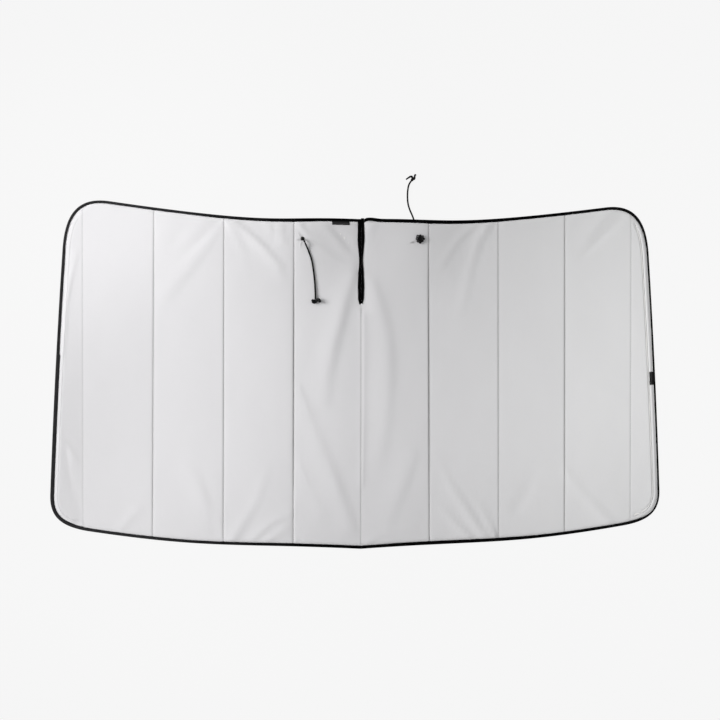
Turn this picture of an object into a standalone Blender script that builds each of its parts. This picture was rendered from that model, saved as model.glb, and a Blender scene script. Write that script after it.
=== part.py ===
"""Windscreen frost cover, laid flat with its light face up.

A fabric face and a lining hold flat foam boards in stitched pockets, and a folded tape binds the edge.
A bound slit at the top centre passes round the mirror's stem, and an elastic cord with a hook leaves
each of the two eyelets beside it.

Metres. +X runs across the windscreen, +Y towards the top edge and +Z up. The origin is the centre of
the cover's own box, cords apart, on the surface it lies on.
"""

import math

import bmesh
import bpy
import numpy as np
from mathutils import Matrix, Vector, geometry

# Outline of one half, from the centre line outwards; the other half is its mirror image
BAY_WIDTH = 0.1667
BAYS_PER_SIDE = 4
WING_WIDTH_TOP = 0.0367
WING_WIDTH_BOTTOM = 0.0753
HEIGHT_AT_CENTRE = 0.7966
TOP_CORNER_RISE = 0.0497
BOTTOM_CORNER_RISE = 0.0653
SIDE_BOW = 0.0041

# The top and bottom edges are cubic curves: slope and share of the half width held at each end
TOP_INNER_SLOPE = 0.032
TOP_INNER_HOLD = 0.311
TOP_OUTER_SLOPE = 0.142
TOP_OUTER_HOLD = 0.739
BOTTOM_INNER_SLOPE = 0.059
BOTTOM_INNER_HOLD = 0.449
BOTTOM_OUTER_SLOPE = 0.176
BOTTOM_OUTER_HOLD = 0.496

# How far each rounded corner reaches along its two edges, and how full its curve is
TOP_CORNER_ALONG_TOP = 0.1026
TOP_CORNER_DOWN_SIDE = 0.1274
TOP_CORNER_FULLNESS = 0.69
BOTTOM_CORNER_UP_SIDE = 0.0715
BOTTOM_CORNER_ALONG_BOTTOM = 0.0945
BOTTOM_CORNER_FULLNESS = 0.72

# Thicknesses, and the gap kept between pieces that touch
FABRIC = 0.0005
BOARD = 0.004
TAPE = 0.0008
GAP = 0.0004

# Binding tape, and how the fabric rises from it and from the seams
BINDING_WIDTH = 0.0078
BINDING_CHAMFER = 0.0007
EDGE_RAMP = 0.0084
SEAM_VALLEY = 0.001
SEAM_RAMP = 0.007
BOARD_CLEARANCE = 0.001

# Slit for the mirror's stem
SLIT_LENGTH = 0.2062
SLIT_CLEARANCE = 0.00015
SLIT_WAIST_DEPTH = 0.104
SLIT_SWELL_DEPTH = 0.164
SLIT_WAIST_WIDTH = 0.0045
SLIT_SWELL_WIDTH = 0.0072
SLIT_END_WIDTH = 0.0052

# Eyelets, cord stops, cords and hooks
EYELET_FROM_SEAM = 0.024
EYELET_FROM_TOP = 0.0495
EYELET_BORE = 0.003
EYELET_WALL = 0.0005
EYELET_FLANGE = 0.0048
EYELET_FLANGE_THICKNESS = 0.0008
STOP_RADIUS = 0.0115
STOP_LOBES = 8
STOP_LOBE_DEPTH = 0.0009
STOP_THICKNESS = 0.0048
CORD_DIAMETER = 0.0035
CORD_END_GAP = 0.0003
FLOOR_CLEARANCE = 0.00005
HOOK_HUB_RADIUS = 0.0034
HOOK_HUB_LENGTH = 0.008
HOOK_ARM_RADIUS = 0.002

# How far from an eyelet the cover is lifted by what lies under it
LIFT_REACH = 0.150

# Labels sewn in along the binding, both blank
TOP_LABEL_LENGTH = 0.0425
TOP_LABEL_HEIGHT = 0.0078
TOP_LABEL_FROM_SLIT = 0.0282
SIDE_LABEL_LENGTH = 0.0325
SIDE_LABEL_HEIGHT = 0.0076
SIDE_LABEL_CENTRE = -0.0045
LABEL_THICKNESS = 0.0006

# Largest spacing of mesh points: where the cover is lifted, and where it lies flat
FINE_STEP = 0.029
COARSE_STEP = 0.170

# Cord routes from just past their stops: (x, y) from the eyelet, height of the middle line over its bed
FRONT_CORD_ROUTE = [
    (0.0001, -0.0003, -0.0030),
    (0.0005, -0.0009, 0.0028),
    (0.0019, -0.0034, 0.0072),
    (0.0043, -0.0080, 0.0090),
    (0.0070, -0.0132, 0.0080),
    (0.0098, -0.0190, 0.0054),
    (0.0132, -0.0262, 0.0031),
    (0.0164, -0.0340, 0.0022),
    (0.0212, -0.0472, 0.0021),
    (0.0245, -0.0616, 0.0021),
    (0.0268, -0.0760, 0.0021),
    (0.0287, -0.0904, 0.0021),
    (0.0302, -0.1048, 0.0023),
    (0.0311, -0.1192, 0.0028),
    (0.0316, -0.1337, 0.0036),
    (0.0317, -0.1405, 0.0037),
]
BACK_CORD_ROUTE = [
    (0.0001, -0.0004, 0.0112),
    (0.0002, -0.0007, 0.0090),
    (0.0002, -0.0005, 0.0072),
    (-0.0001, 0.0002, 0.0054),
    (-0.0004, 0.0013, 0.0039),
    (-0.0009, 0.0028, 0.0027),
    (-0.0015, 0.0045, 0.0020),
    (-0.0022, 0.0066, 0.0018),
    (-0.0031, 0.0095, 0.0018),
    (-0.0047, 0.0150, 0.0018),
    (-0.0084, 0.0285, 0.0018),
    (-0.0118, 0.0410, 0.0018),
    (-0.0150, 0.0520, 0.0018),
    (-0.0190, 0.0621, 0.0018),
    (-0.0234, 0.0720, 0.0018),
    (-0.0266, 0.0814, 0.0018),
    (-0.0286, 0.0910, 0.0018),
    (-0.0294, 0.1007, 0.0018),
    (-0.0295, 0.1104, 0.0018),
    (-0.0289, 0.1201, 0.0020),
    (-0.0272, 0.1299, 0.0027),
    (-0.0247, 0.1363, 0.0033),
    (-0.0214, 0.1412, 0.0036),
]

# Each hook's two arms, by their cord: the tip's radius, then places (across, along the cord, up) from the hub
HOOK_ARMS = {
    "left": [
        (0.0026, [(-0.0006, -0.0002, 0.0), (-0.0026, -0.0012, 0.0006), (-0.0049, -0.0032, 0.0016),
                  (-0.0072, -0.0042, 0.0028), (-0.0092, -0.0026, 0.0036), (-0.0099, 0.0006, 0.0038)]),
        (0.0026, [(0.0006, 0.0004, 0.0), (0.0022, 0.0026, 0.0004), (0.0044, 0.0030, 0.0012),
                  (0.0063, 0.0013, 0.0022), (0.0070, -0.0014, 0.0030)]),
    ],
    "right": [
        (0.0022, [(-0.0005, 0.0003, 0.0), (-0.0032, 0.0024, 0.0), (-0.0060, 0.0034, -0.0002),
                  (-0.0082, 0.0012, -0.0004), (-0.0098, -0.0027, -0.0007), (-0.0109, -0.0062, -0.0009),
                  (-0.0117, -0.0092, -0.0011)]),
        (0.0025, [(0.0005, 0.0003, 0.0), (0.0025, 0.0012, -0.0001), (0.0039, 0.0032, -0.0003),
                  (0.0040, 0.0060, -0.0005), (0.0033, 0.0087, -0.0007), (0.0025, 0.0110, -0.0008)]),
    ],
}
CORD_STEP = 0.0037

# Worked out from the driving dimensions
OUTER_SEAM = BAY_WIDTH * BAYS_PER_SIDE
LINING_IN_TAPE = TAPE + GAP
FACE_IN_TAPE = LINING_IN_TAPE + FABRIC + GAP
TAPE_HEIGHT = FACE_IN_TAPE + FABRIC + GAP + TAPE
BOARD_UNDERSIDE = FABRIC + GAP
FACE_AT_SEAM = FABRIC + GAP
FACE_OVER_BOARD = BOARD_UNDERSIDE + BOARD + GAP
COVER_HEIGHT = FACE_OVER_BOARD + FABRIC
FABRIC_INSET = TAPE + GAP
EDGE_FOOT = BINDING_WIDTH + GAP
EDGE_TOP = EDGE_FOOT + EDGE_RAMP
SEAM_TOP = SEAM_VALLEY + SEAM_RAMP
SLIT_FOOT = EDGE_FOOT + SLIT_CLEARANCE
SLIT_TOP = SLIT_FOOT + SEAM_RAMP
BARREL = EYELET_BORE + EYELET_WALL
EYELET_HOLE = BARREL + GAP
LIFT_HEIGHT = STOP_THICKNESS + 2 * GAP + EYELET_FLANGE_THICKNESS
CORD_RADIUS = CORD_DIAMETER / 2
EYELET_X = BAY_WIDTH - EYELET_FROM_SEAM


def clear_scene():
    for item in list(bpy.data.objects):
        bpy.data.objects.remove(item, do_unlink=True)


def material(name, colour, roughness, metallic=0.0):
    """A Principled material with one plain colour."""
    made = bpy.data.materials.new(name)
    made.use_nodes = True
    shader = made.node_tree.nodes["Principled BSDF"]
    shader.inputs["Base Color"].default_value = (*colour, 1.0)
    shader.inputs["Roughness"].default_value = roughness
    shader.inputs["Metallic"].default_value = metallic
    return made


def add_object(name, verts, faces, finish, location=(0.0, 0.0, 0.0)):
    """A mesh object, shaded smooth but for edges over 40 degrees."""
    mesh = bpy.data.meshes.new(name)
    mesh.from_pydata([tuple(v) for v in verts], [], faces)
    mesh.validate()
    mesh.shade_smooth()
    mesh.set_sharp_from_angle(angle=math.radians(40))
    mesh.materials.append(finish)
    made = bpy.data.objects.new(name, mesh)
    made.location = location
    bpy.context.scene.collection.objects.link(made)
    return made


# Outline


def bezier(start, hold_start, hold_end, end, count):
    t = np.linspace(0.0, 1.0, count)[:, None]
    points = (start, hold_start, hold_end, end)
    weights = ((1 - t) ** 3, 3 * t * (1 - t) ** 2, 3 * t**2 * (1 - t), t**3)
    return sum(w * np.array(p) for w, p in zip(weights, points))


def edge_curve(inner, corner, inner_slope, inner_hold, outer_slope, outer_hold):
    """An edge from the centre line to the sharp corner that its rounding replaces."""
    width = corner[0]
    hold_in = (inner[0] + inner_hold * width, inner[1] + inner_slope * inner_hold * width)
    hold_out = (corner[0] - outer_hold * width, corner[1] - outer_slope * outer_hold * width)
    return bezier(inner, hold_in, hold_out, corner, 160)


def lengths(curve):
    steps = np.linalg.norm(np.diff(curve, axis=0), axis=1)
    return np.concatenate([[0.0], np.cumsum(steps)])


def at_length(curve, along):
    s = lengths(curve)
    return np.stack([np.interp(along, s, curve[:, axis]) for axis in range(curve.shape[1])], axis=-1)


def cut_end(curve, reach):
    """The curve without the last `reach` of its length."""
    end = lengths(curve)[-1] - reach
    kept = curve[lengths(curve) < end]
    return np.vstack([kept, at_length(curve, end)])


def rounded(start, corner, end, fullness):
    hold_start = start + fullness * (corner - start)
    hold_end = end + fullness * (corner - end)
    return bezier(start, hold_start, hold_end, end, 40)


def half_outline():
    """Right half of the outer edge, from the top centre clockwise to the bottom centre."""
    top_corner = np.array([OUTER_SEAM + WING_WIDTH_TOP, HEIGHT_AT_CENTRE + TOP_CORNER_RISE])
    bottom_corner = np.array([OUTER_SEAM + WING_WIDTH_BOTTOM, BOTTOM_CORNER_RISE])
    top = edge_curve(
        (0.0, HEIGHT_AT_CENTRE), top_corner,
        TOP_INNER_SLOPE, TOP_INNER_HOLD, TOP_OUTER_SLOPE, TOP_OUTER_HOLD,
    )
    bottom = edge_curve(
        (0.0, 0.0), bottom_corner,
        BOTTOM_INNER_SLOPE, BOTTOM_INNER_HOLD, BOTTOM_OUTER_SLOPE, BOTTOM_OUTER_HOLD,
    )
    s = np.linspace(0.0, 1.0, 120)[:, None]
    bow = np.hstack([4 * SIDE_BOW * s * (1 - s), 0 * s])
    side = top_corner * (1 - s) + bottom_corner * s + bow
    top = cut_end(top, TOP_CORNER_ALONG_TOP)
    side = cut_end(side[::-1], TOP_CORNER_DOWN_SIDE)[::-1]
    side = cut_end(side, BOTTOM_CORNER_UP_SIDE)
    bottom = cut_end(bottom, BOTTOM_CORNER_ALONG_BOTTOM)[::-1]
    first = rounded(top[-1], top_corner, side[0], TOP_CORNER_FULLNESS)
    second = rounded(side[-1], bottom_corner, bottom[0], BOTTOM_CORNER_FULLNESS)
    pieces = [top, first[1:], side[1:], second[1:], bottom[1:]]
    curve = np.vstack(pieces)
    curve[:, 1] -= (curve[:, 1].max() + curve[:, 1].min()) / 2
    ends = np.cumsum([len(piece) for piece in pieces]) - 1
    return curve, [lengths(curve)[end] for end in ends]


HALF, STRETCH_ENDS = half_outline()


def inward_normals(curve):
    """Unit normals to the right of the direction of travel; upright on the centre line."""
    along = np.gradient(curve, axis=0)
    normals = np.stack([along[:, 1], -along[:, 0]], axis=1)
    normals /= np.linalg.norm(normals, axis=1)[:, None]
    normals[0] = (0.0, -1.0)
    normals[-1] = (0.0, 1.0)
    return normals


HALF_NORMALS = inward_normals(HALF)


def even(start, end, step):
    """Places from start up to end, end left out, no further apart than step."""
    count = max(1, math.ceil((end - start) / step - 1e-9))
    return [start + (end - start) * k / count for k in range(count)]


def edge_stations():
    """Lengths along the half outline at which the edge pieces have a section."""
    top, corner, side, second, bottom = STRETCH_ENDS
    lifted = min(EYELET_X + LIFT_REACH, top)
    marks = [(0.0, SLIT_FOOT, SLIT_FOOT), (SLIT_FOOT, lifted, FINE_STEP), (lifted, top, 0.06)]
    marks += [(top, corner, 0.022), (corner, side, 0.11), (side, second, 0.018), (second, bottom, 0.08)]
    return [place for mark in marks for place in even(*mark)] + [bottom]


STATIONS = edge_stations()


def half_ring(inset):
    s = lengths(HALF)
    points = np.stack([np.interp(STATIONS, s, HALF[:, axis]) for axis in range(2)], axis=1)
    normals = np.stack([np.interp(STATIONS, s, HALF_NORMALS[:, axis]) for axis in range(2)], axis=1)
    normals /= np.linalg.norm(normals, axis=1)[:, None]
    return points + inset * normals


def ring(inset):
    """Closed loop at one distance inside the outer edge, clockwise from the top centre."""
    right = half_ring(inset)
    left = right[-2:0:-1] * (-1.0, 1.0)
    return np.vstack([right, left])


def outline_distance(x, y):
    """Distance of each place from the outer edge; the cover is the same on both sides."""
    starts, ends = HALF[:-1], HALF[1:]
    run = ends - starts
    places = np.stack([np.abs(x), y], axis=1)[:, None, :]
    share = ((places - starts) * run).sum(axis=2) / (run * run).sum(axis=1)
    nearest = starts + np.clip(share, 0.0, 1.0)[:, :, None] * run
    return np.linalg.norm(places - nearest, axis=2).min(axis=1)


def top_edge_height(x):
    top = HALF[lengths(HALF) <= STRETCH_ENDS[0] + 1e-9]
    return float(np.interp(abs(x), top[:, 0], top[:, 1]))


SLIT_END = top_edge_height(0.0) - SLIT_LENGTH
EYELET_Y = top_edge_height(EYELET_X) - EYELET_FROM_TOP
LIFT_FLOOR = EYELET_Y - LIFT_REACH
MESH_ROWS = even(HALF[:, 1].min(), LIFT_FLOOR, COARSE_STEP) + even(LIFT_FLOOR, HALF[:, 1].max(), FINE_STEP)


# Heights of the layers


def ramp(distance, foot, top):
    return np.clip((distance - foot) / (top - foot), 0.0, 1.0)


def lift(x, y):
    """Height that the cord and the stop under each eyelet raise the cover by."""
    x, y = np.asarray(x, float), np.asarray(y, float)
    total = np.zeros(np.broadcast(x, y).shape)
    for side in (-1, 1):
        away = np.hypot(x - side * EYELET_X, y - EYELET_Y) / LIFT_REACH
        total += LIFT_HEIGHT * np.cos(np.minimum(away, 1.0) * math.pi / 2) ** 2
    return total


def clear_of_tape(x, y):
    """0 inside the binding and the slit's binding, 1 where the pocket starts."""
    slit = np.maximum(np.abs(x), SLIT_END - y)
    return np.minimum(
        ramp(outline_distance(x, y), EDGE_FOOT, EDGE_TOP), ramp(slit, SLIT_FOOT, SLIT_TOP)
    )


def clear_of_seams(x):
    nearest = np.min([np.abs(np.abs(x) - k * BAY_WIDTH) for k in range(BAYS_PER_SIDE + 1)], axis=0)
    return ramp(nearest, SEAM_VALLEY, SEAM_TOP)


def lining_underside(x, y):
    return lift(x, y) + LINING_IN_TAPE * (1.0 - clear_of_tape(x, y))


def face_underside(x, y):
    tape, seams = clear_of_tape(x, y), clear_of_seams(x)
    lowest = FACE_AT_SEAM + (FACE_IN_TAPE - FACE_AT_SEAM) * (1.0 - tape)
    return lift(x, y) + lowest + (FACE_OVER_BOARD - lowest) * np.minimum(tape, seams)


def board_underside(x, y):
    return lift(x, y) + BOARD_UNDERSIDE


# Flat patterns


def inside(points, loop):
    """Whether each point lies inside a closed loop, by the crossings of a ray along +X."""
    points, loop = np.asarray(points, float), np.asarray(loop, float)
    x, y = points[:, 0, None], points[:, 1, None]
    x0, y0 = loop[:, 0], loop[:, 1]
    x1, y1 = np.roll(x0, -1), np.roll(y0, -1)
    spans = (y0 > y) != (y1 > y)
    rise = np.where(y1 == y0, 1.0, y1 - y0)
    crosses = x < x0 + (y - y0) / rise * (x1 - x0)
    return (spans & crosses).sum(axis=1) % 2 == 1


def clipped(loop, bound, keep_above):
    """A loop's part on one side of the upright line x = bound."""
    kept = []
    sign = 1.0 if keep_above else -1.0
    for start, end in zip(loop, np.roll(loop, -1, axis=0)):
        before, after = sign * (start[0] - bound), sign * (end[0] - bound)
        if before >= 0:
            kept.append(start)
        if before * after < 0:
            kept.append(start + (end - start) * before / (before - after))
    return np.array(kept)


def with_rows(line):
    """The line with a point added wherever it crosses a row of the mesh."""
    points = [line[0]]
    for here, there in zip(line[:-1], line[1:]):
        crossed = [y for y in MESH_ROWS if (here[1] - y) * (there[1] - y) < 0]
        for y in sorted(crossed, reverse=bool(here[1] > there[1])):
            points.append(here + (there - here) * (y - here[1]) / (there[1] - here[1]))
        points.append(there)
    return np.array(points)


def circle(centre, radius, count=16):
    turns = np.arange(count) * 2 * math.pi / count
    return np.stack([centre[0] + radius * np.cos(turns), centre[1] + radius * np.sin(turns)], axis=1)


def seam_places():
    return [k * BAY_WIDTH for k in range(-BAYS_PER_SIDE, BAYS_PER_SIDE + 1)]


def upright(x, inset=FABRIC_INSET * 2):
    """A line along one x from the bottom edge to the top edge, or to the slit's end."""
    column = clipped(clipped(ring(inset), x - 1e-4, True), x + 1e-4, False)
    low, high = column[:, 1].min(), column[:, 1].max()
    if abs(x) < SLIT_TOP:
        high = SLIT_END - SLIT_FOOT
    return np.array([(x, low), (x, high)])


def grid_points(lines_x, loop, margin):
    """Points of the mesh inside a loop: close together where the cover is lifted, sparse elsewhere."""
    points = []
    for y in MESH_ROWS:
        lifted = y >= LIFT_FLOOR - 1e-6
        for x in lines_x:
            if not lifted or abs(x) <= EYELET_X + LIFT_REACH + FINE_STEP:
                points.append((x, y))
    points = np.reshape(points, (-1, 2))
    slit = np.maximum(np.abs(points[:, 0]), SLIT_END - points[:, 1])
    near_slit = (slit < SLIT_TOP + margin) & (np.abs(points[:, 0]) < SLIT_TOP + margin)
    near_slit &= points[:, 1] > SLIT_END - SLIT_TOP - margin
    near_eyelet = np.hypot(np.abs(points[:, 0]) - EYELET_X, points[:, 1] - EYELET_Y) < EYELET_HOLE + 0.004
    edge = outline_distance(points[:, 0], points[:, 1])
    kept = inside(points, loop) & (edge > EDGE_TOP + margin) & ~near_slit & ~near_eyelet
    return points[kept]


def columns_between(start, end):
    """x of the mesh columns between two seams, shared by every layer of a bay."""
    start, end = start + SEAM_TOP, end - SEAM_TOP
    lifted = min(abs(start), abs(end)) < EYELET_X + LIFT_REACH
    return even(start, end, FINE_STEP if lifted else BAY_WIDTH / 2)[1:]


def mesh_columns():
    seams = seam_places()
    return [x for start, end in zip(seams[:-1], seams[1:]) for x in columns_between(start, end)]


def sheet(name, loop, underside, thickness, finish, lines=(), holes=(), points=()):
    """A closed sheet: a flat pattern, triangulated and raised to its height, with an even thickness."""
    flat, edges = [], []

    def add_line(places, closed):
        first = len(flat)
        flat.extend(Vector((float(p[0]), float(p[1]))) for p in places)
        edges.extend((k, k + 1) for k in range(first, len(flat) - 1))
        if closed:
            edges.append((len(flat) - 1, first))

    add_line(loop, True)
    for line in lines:
        add_line(line, False)
    for hole in holes:
        add_line(hole, True)
    flat.extend(Vector((float(p[0]), float(p[1]))) for p in points)
    places, _, triangles = geometry.delaunay_2d_cdt(flat, edges, [], 0, 1e-6, False)[:3]
    places = np.array([tuple(p) for p in places])
    triangles = np.array([tuple(t) for t in triangles])
    middles = places[triangles].mean(axis=1)
    kept = inside(middles, loop)
    for hole in holes:
        kept &= ~inside(middles, hole)
    triangles = triangles[kept]
    used, triangles = np.unique(triangles, return_inverse=True)
    places, triangles = places[used], triangles.reshape(-1, 3)
    low = underside(places[:, 0], places[:, 1])
    count = len(places)
    verts = np.vstack([np.column_stack([places, low]), np.column_stack([places, low + thickness])])
    faces = [tuple(t[::-1]) for t in triangles.tolist()]
    faces += [tuple(v + count for v in t) for t in triangles.tolist()]
    sides = {}
    for a, b, c in triangles.tolist():
        for edge in ((a, b), (b, c), (c, a)):
            sides[edge] = True
    for a, b in sides:
        if (b, a) not in sides:
            faces.append((a, b, b + count, a + count))
    return add_object(name, verts, faces, finish)


# Cloth layers and boards


def eyelet_centre(side):
    return (side * EYELET_X, EYELET_Y)


def fabric_loop():
    """The fabric's edge inside the binding, with the slit as a notch at the top centre."""
    loop = ring(FABRIC_INSET)
    cut = SLIT_CLEARANCE + TAPE + GAP
    top = top_edge_height(0.0) - FABRIC_INSET
    end = SLIT_END - GAP
    notch = with_rows(np.array([(-cut, top), (-cut, end), (cut, end), (cut, top)]))
    return np.vstack([notch, loop[1:]])


def slit_frame(reach):
    """Three sides of the rectangle that lies `reach` outside the slit, as one line."""
    top, end = top_edge_height(reach) - FABRIC_INSET * 2, SLIT_END - reach
    return with_rows(np.array([(-reach, top), (-reach, end), (reach, end), (reach, top)]))


def cloth_lines():
    lines = [slit_frame(SLIT_FOOT), slit_frame(SLIT_TOP)]
    for inset in (EDGE_FOOT, EDGE_TOP):
        loop = ring(inset)
        lines.append(np.vstack([loop, loop[:1]]))
    return lines


def make_lining():
    loop = fabric_loop()
    points = grid_points(mesh_columns() + seam_places(), loop, 0.006)
    sheet(
        "lining_fabric", loop, lining_underside, FABRIC,
        material("dark lining fabric", (0.03, 0.03, 0.033), 0.85),
        lines=cloth_lines(),
        holes=[circle(eyelet_centre(side), EYELET_HOLE) for side in (-1, 1)], points=points,
    )


def make_face():
    loop = fabric_loop()
    lines = cloth_lines()
    offsets = (-SEAM_TOP, -SEAM_VALLEY, SEAM_VALLEY, SEAM_TOP)
    seam_lines = [seam + offset for seam in seam_places() for offset in offsets]
    lines += [upright(x) for x in seam_lines]
    points = grid_points(mesh_columns() + seam_lines, loop, 0.006)
    sheet(
        "face_fabric", loop, face_underside, FABRIC,
        material("light face fabric", (0.62, 0.62, 0.64), 0.6),
        lines=lines,
        holes=[circle(eyelet_centre(side), EYELET_HOLE) for side in (-1, 1)], points=points,
    )


def board_loop(start, end):
    """A board's outline between two uprights, inside the pocket's ring."""
    loop = clipped(clipped(ring(EDGE_TOP + BOARD_CLEARANCE), start, True), end, False)
    return with_rows(np.vstack([loop, loop[:1]]))[:-1]


def make_board(name, start, end, finish):
    loop = board_loop(start, end)
    points = grid_points(mesh_columns(), loop, BOARD_CLEARANCE + 0.003)
    centre = eyelet_centre(1 if start > 0 else -1)
    holes = [circle(centre, EYELET_HOLE)] if start < centre[0] < end else []
    sheet(name, loop, board_underside, BOARD, finish, holes=holes, points=points)


def make_boards():
    finish = material("white foam board", (0.8, 0.8, 0.78), 0.9)
    inner = SLIT_TOP + BOARD_CLEARANCE
    beside = SEAM_TOP + BOARD_CLEARANCE
    outer = OUTER_SEAM + WING_WIDTH_BOTTOM
    for label, side in (("left", -1), ("right", 1)):
        for bay in range(BAYS_PER_SIDE):
            near = inner if bay == 0 else bay * BAY_WIDTH + beside
            far = (bay + 1) * BAY_WIDTH - beside
            start, end = sorted((side * near, side * far))
            make_board(f"board_{label}_{bay + 1}", start, end, finish)
        start, end = sorted((side * (OUTER_SEAM + beside), side * outer))
        make_board(f"board_{label}_wing", start, end, finish)


# Binding


def tape_section(width):
    """The folded tape's outline as (distance inwards, height), open towards the fabric."""
    top, cut = TAPE_HEIGHT, BINDING_CHAMFER
    return [
        (width, 0.0), (cut, 0.0), (0.0, cut), (0.0, top - cut), (cut, top), (width, top),
        (width, top - TAPE), (TAPE, top - TAPE), (TAPE, TAPE), (width, TAPE),
    ]


def sweep_tape(name, places, normals, widths, finish):
    """The tape's section carried along an edge, with its ends closed."""
    verts, faces = [], []
    for place, normal, width in zip(places, normals, widths):
        for inwards, height in tape_section(width):
            x, y = place[0] + inwards * normal[0], place[1] + inwards * normal[1]
            verts.append((x, y, height + float(lift(x, y))))
    count = len(tape_section(BINDING_WIDTH))
    for k in range(len(places) - 1):
        for a in range(count):
            b = (a + 1) % count
            low, high = k * count, (k + 1) * count
            faces.append((low + a, high + a, high + b, low + b))
    last = (len(places) - 1) * count
    faces.append(tuple(range(count)))
    faces.append(tuple(last + a for a in reversed(range(count))))
    made = add_object(name, verts, faces, finish)
    mesh = bmesh.new()
    mesh.from_mesh(made.data)
    bmesh.ops.recalc_face_normals(mesh, faces=mesh.faces)
    mesh.to_mesh(made.data)
    mesh.free()
    return made


def make_edge_binding(finish):
    """One length of tape all round, from one side of the slit to the other."""
    outer = ring(0.0)
    inner = ring(BINDING_WIDTH)
    normals = (inner - outer) / BINDING_WIDTH
    places, normals = outer[1:], normals[1:]
    start = SLIT_FOOT + GAP
    first = (start, top_edge_height(start))
    places = np.vstack([first, places[1:-1], (-first[0], first[1])])
    normals = np.vstack([(0.0, -1.0), normals[1:-1], (0.0, -1.0)])
    sweep_tape("edge_binding", places, normals, [BINDING_WIDTH] * len(places), finish)


def make_slit_binding(name, side, finish):
    """Tape along one side of the slit; it pinches to a waist, swells again and narrows at the end."""
    depths = [0.0, SLIT_WAIST_DEPTH, SLIT_SWELL_DEPTH, SLIT_LENGTH]
    widths = [BINDING_WIDTH, SLIT_WAIST_WIDTH, SLIT_SWELL_WIDTH, SLIT_END_WIDTH]
    top = top_edge_height(SLIT_CLEARANCE)
    places, normals, spans = [], [], []
    for depth in even(0.0, SLIT_LENGTH, 0.013) + [SLIT_LENGTH]:
        k = max(i for i in range(3) if depth >= depths[i])
        share = (depth - depths[k]) / (depths[k + 1] - depths[k])
        blend = (1 - math.cos(math.pi * share)) / 2
        places.append((side * SLIT_CLEARANCE, top - depth))
        normals.append((side, 0.0))
        spans.append(widths[k] + blend * (widths[k + 1] - widths[k]))
    sweep_tape(name, places, normals, spans, finish)


def make_bindings():
    finish = material("black binding tape", (0.012, 0.012, 0.014), 0.7)
    make_edge_binding(finish)
    make_slit_binding("slit_binding_left", -1, finish)
    make_slit_binding("slit_binding_right", 1, finish)


# Eyelets, washers and cord stops


def turned(profile, segments=20):
    """A ring turned about Z from a closed (radius, height) profile, clockwise seen along the turn."""
    verts, faces = [], []
    for k in range(segments):
        turn = 2 * math.pi * k / segments
        verts += [(r * math.cos(turn), r * math.sin(turn), z) for r, z in profile]
    count = len(profile)
    for k in range(segments):
        here, there = k * count, (k + 1) % segments * count
        for a in range(count):
            b = (a + 1) % count
            faces.append((here + a, there + a, there + b, here + b))
    return verts, faces


def make_eyelet(label, side):
    x, y = eyelet_centre(side)
    foot = LIFT_HEIGHT - GAP - EYELET_FLANGE_THICKNESS
    seat = LIFT_HEIGHT + COVER_HEIGHT + GAP
    top = seat + EYELET_FLANGE_THICKNESS
    cut = EYELET_FLANGE_THICKNESS / 3
    metal = material(f"black eyelet {label}", (0.02, 0.02, 0.022), 0.35, 0.6)
    profile = [
        (EYELET_BORE, foot), (BARREL, foot), (BARREL, seat), (EYELET_FLANGE, seat),
        (EYELET_FLANGE, top - cut), (EYELET_FLANGE - cut, top), (EYELET_BORE + cut, top),
        (EYELET_BORE, top - cut),
    ]
    add_object(f"eyelet_{label}", *turned(profile), metal, location=(x, y, 0.0))
    washer = [
        (EYELET_HOLE, foot), (EYELET_FLANGE + EYELET_WALL, foot),
        (EYELET_FLANGE + EYELET_WALL, foot + EYELET_FLANGE_THICKNESS),
        (EYELET_HOLE, foot + EYELET_FLANGE_THICKNESS),
    ]
    add_object(f"eyelet_washer_{label}", *turned(washer), metal, location=(x, y, 0.0))


def make_cord_stop(label, side, underside, finish):
    """A lobed button: rings of one lobed outline, with a dished top."""
    rings = [
        (0.90, 0.0), (1.0, 0.2), (1.0, 0.62), (0.90, 0.88), (0.72, 1.0), (0.50, 1.0), (0.40, 0.80), (0.18, 0.74),
    ]
    segments = STOP_LOBES * 6
    verts, faces = [], []
    for scale, level in rings:
        for k in range(segments):
            turn = 2 * math.pi * k / segments
            depth = STOP_LOBE_DEPTH * (1 - math.cos(STOP_LOBES * turn)) / 2
            r = scale * (STOP_RADIUS - depth * min(1.0, 2 * scale - 0.8))
            verts.append((r * math.cos(turn), r * math.sin(turn), level * STOP_THICKNESS))
    for row in range(len(rings) - 1):
        for k in range(segments):
            here, there = row * segments, (row + 1) * segments
            nxt = (k + 1) % segments
            faces.append((here + k, here + nxt, there + nxt, there + k))
    faces.append(tuple(reversed(range(segments))))
    faces.append(tuple((len(rings) - 1) * segments + k for k in range(segments)))
    add_object(f"cord_stop_{label}", verts, faces, finish, location=(*eyelet_centre(side), underside))


# Cords and hooks


def smooth_curve(points, samples=24):
    """Catmull-Rom curve through the points, as a dense polyline."""
    points = np.array(points)
    padded = np.vstack([2 * points[0] - points[1], points, 2 * points[-1] - points[-2]])
    curve = []
    for k in range(1, len(padded) - 2):
        a, b, c, d = padded[k - 1:k + 3]
        t = np.linspace(0.0, 1.0, samples, endpoint=False)[:, None]
        curve.append(
            b + t * (c - a) / 2 + t**2 * (2 * a - 5 * b + 4 * c - d) / 2 + t**3 * (3 * b - a - 3 * c + d) / 2
        )
    return np.vstack([*curve, points[-1:]])


def make_tube(name, centres, radius, finish, resolution=2):
    curve = bpy.data.curves.new(name, "CURVE")
    curve.dimensions = "3D"
    curve.bevel_depth = radius
    curve.bevel_resolution = resolution
    curve.use_fill_caps = True
    spline = curve.splines.new("POLY")
    spline.points.add(len(centres) - 1)
    for point, centre in zip(spline.points, centres):
        point.co = (*centre, 1.0)
    curve.materials.append(finish)
    made = bpy.data.objects.new(name, curve)
    bpy.context.scene.collection.objects.link(made)
    return made


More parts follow.
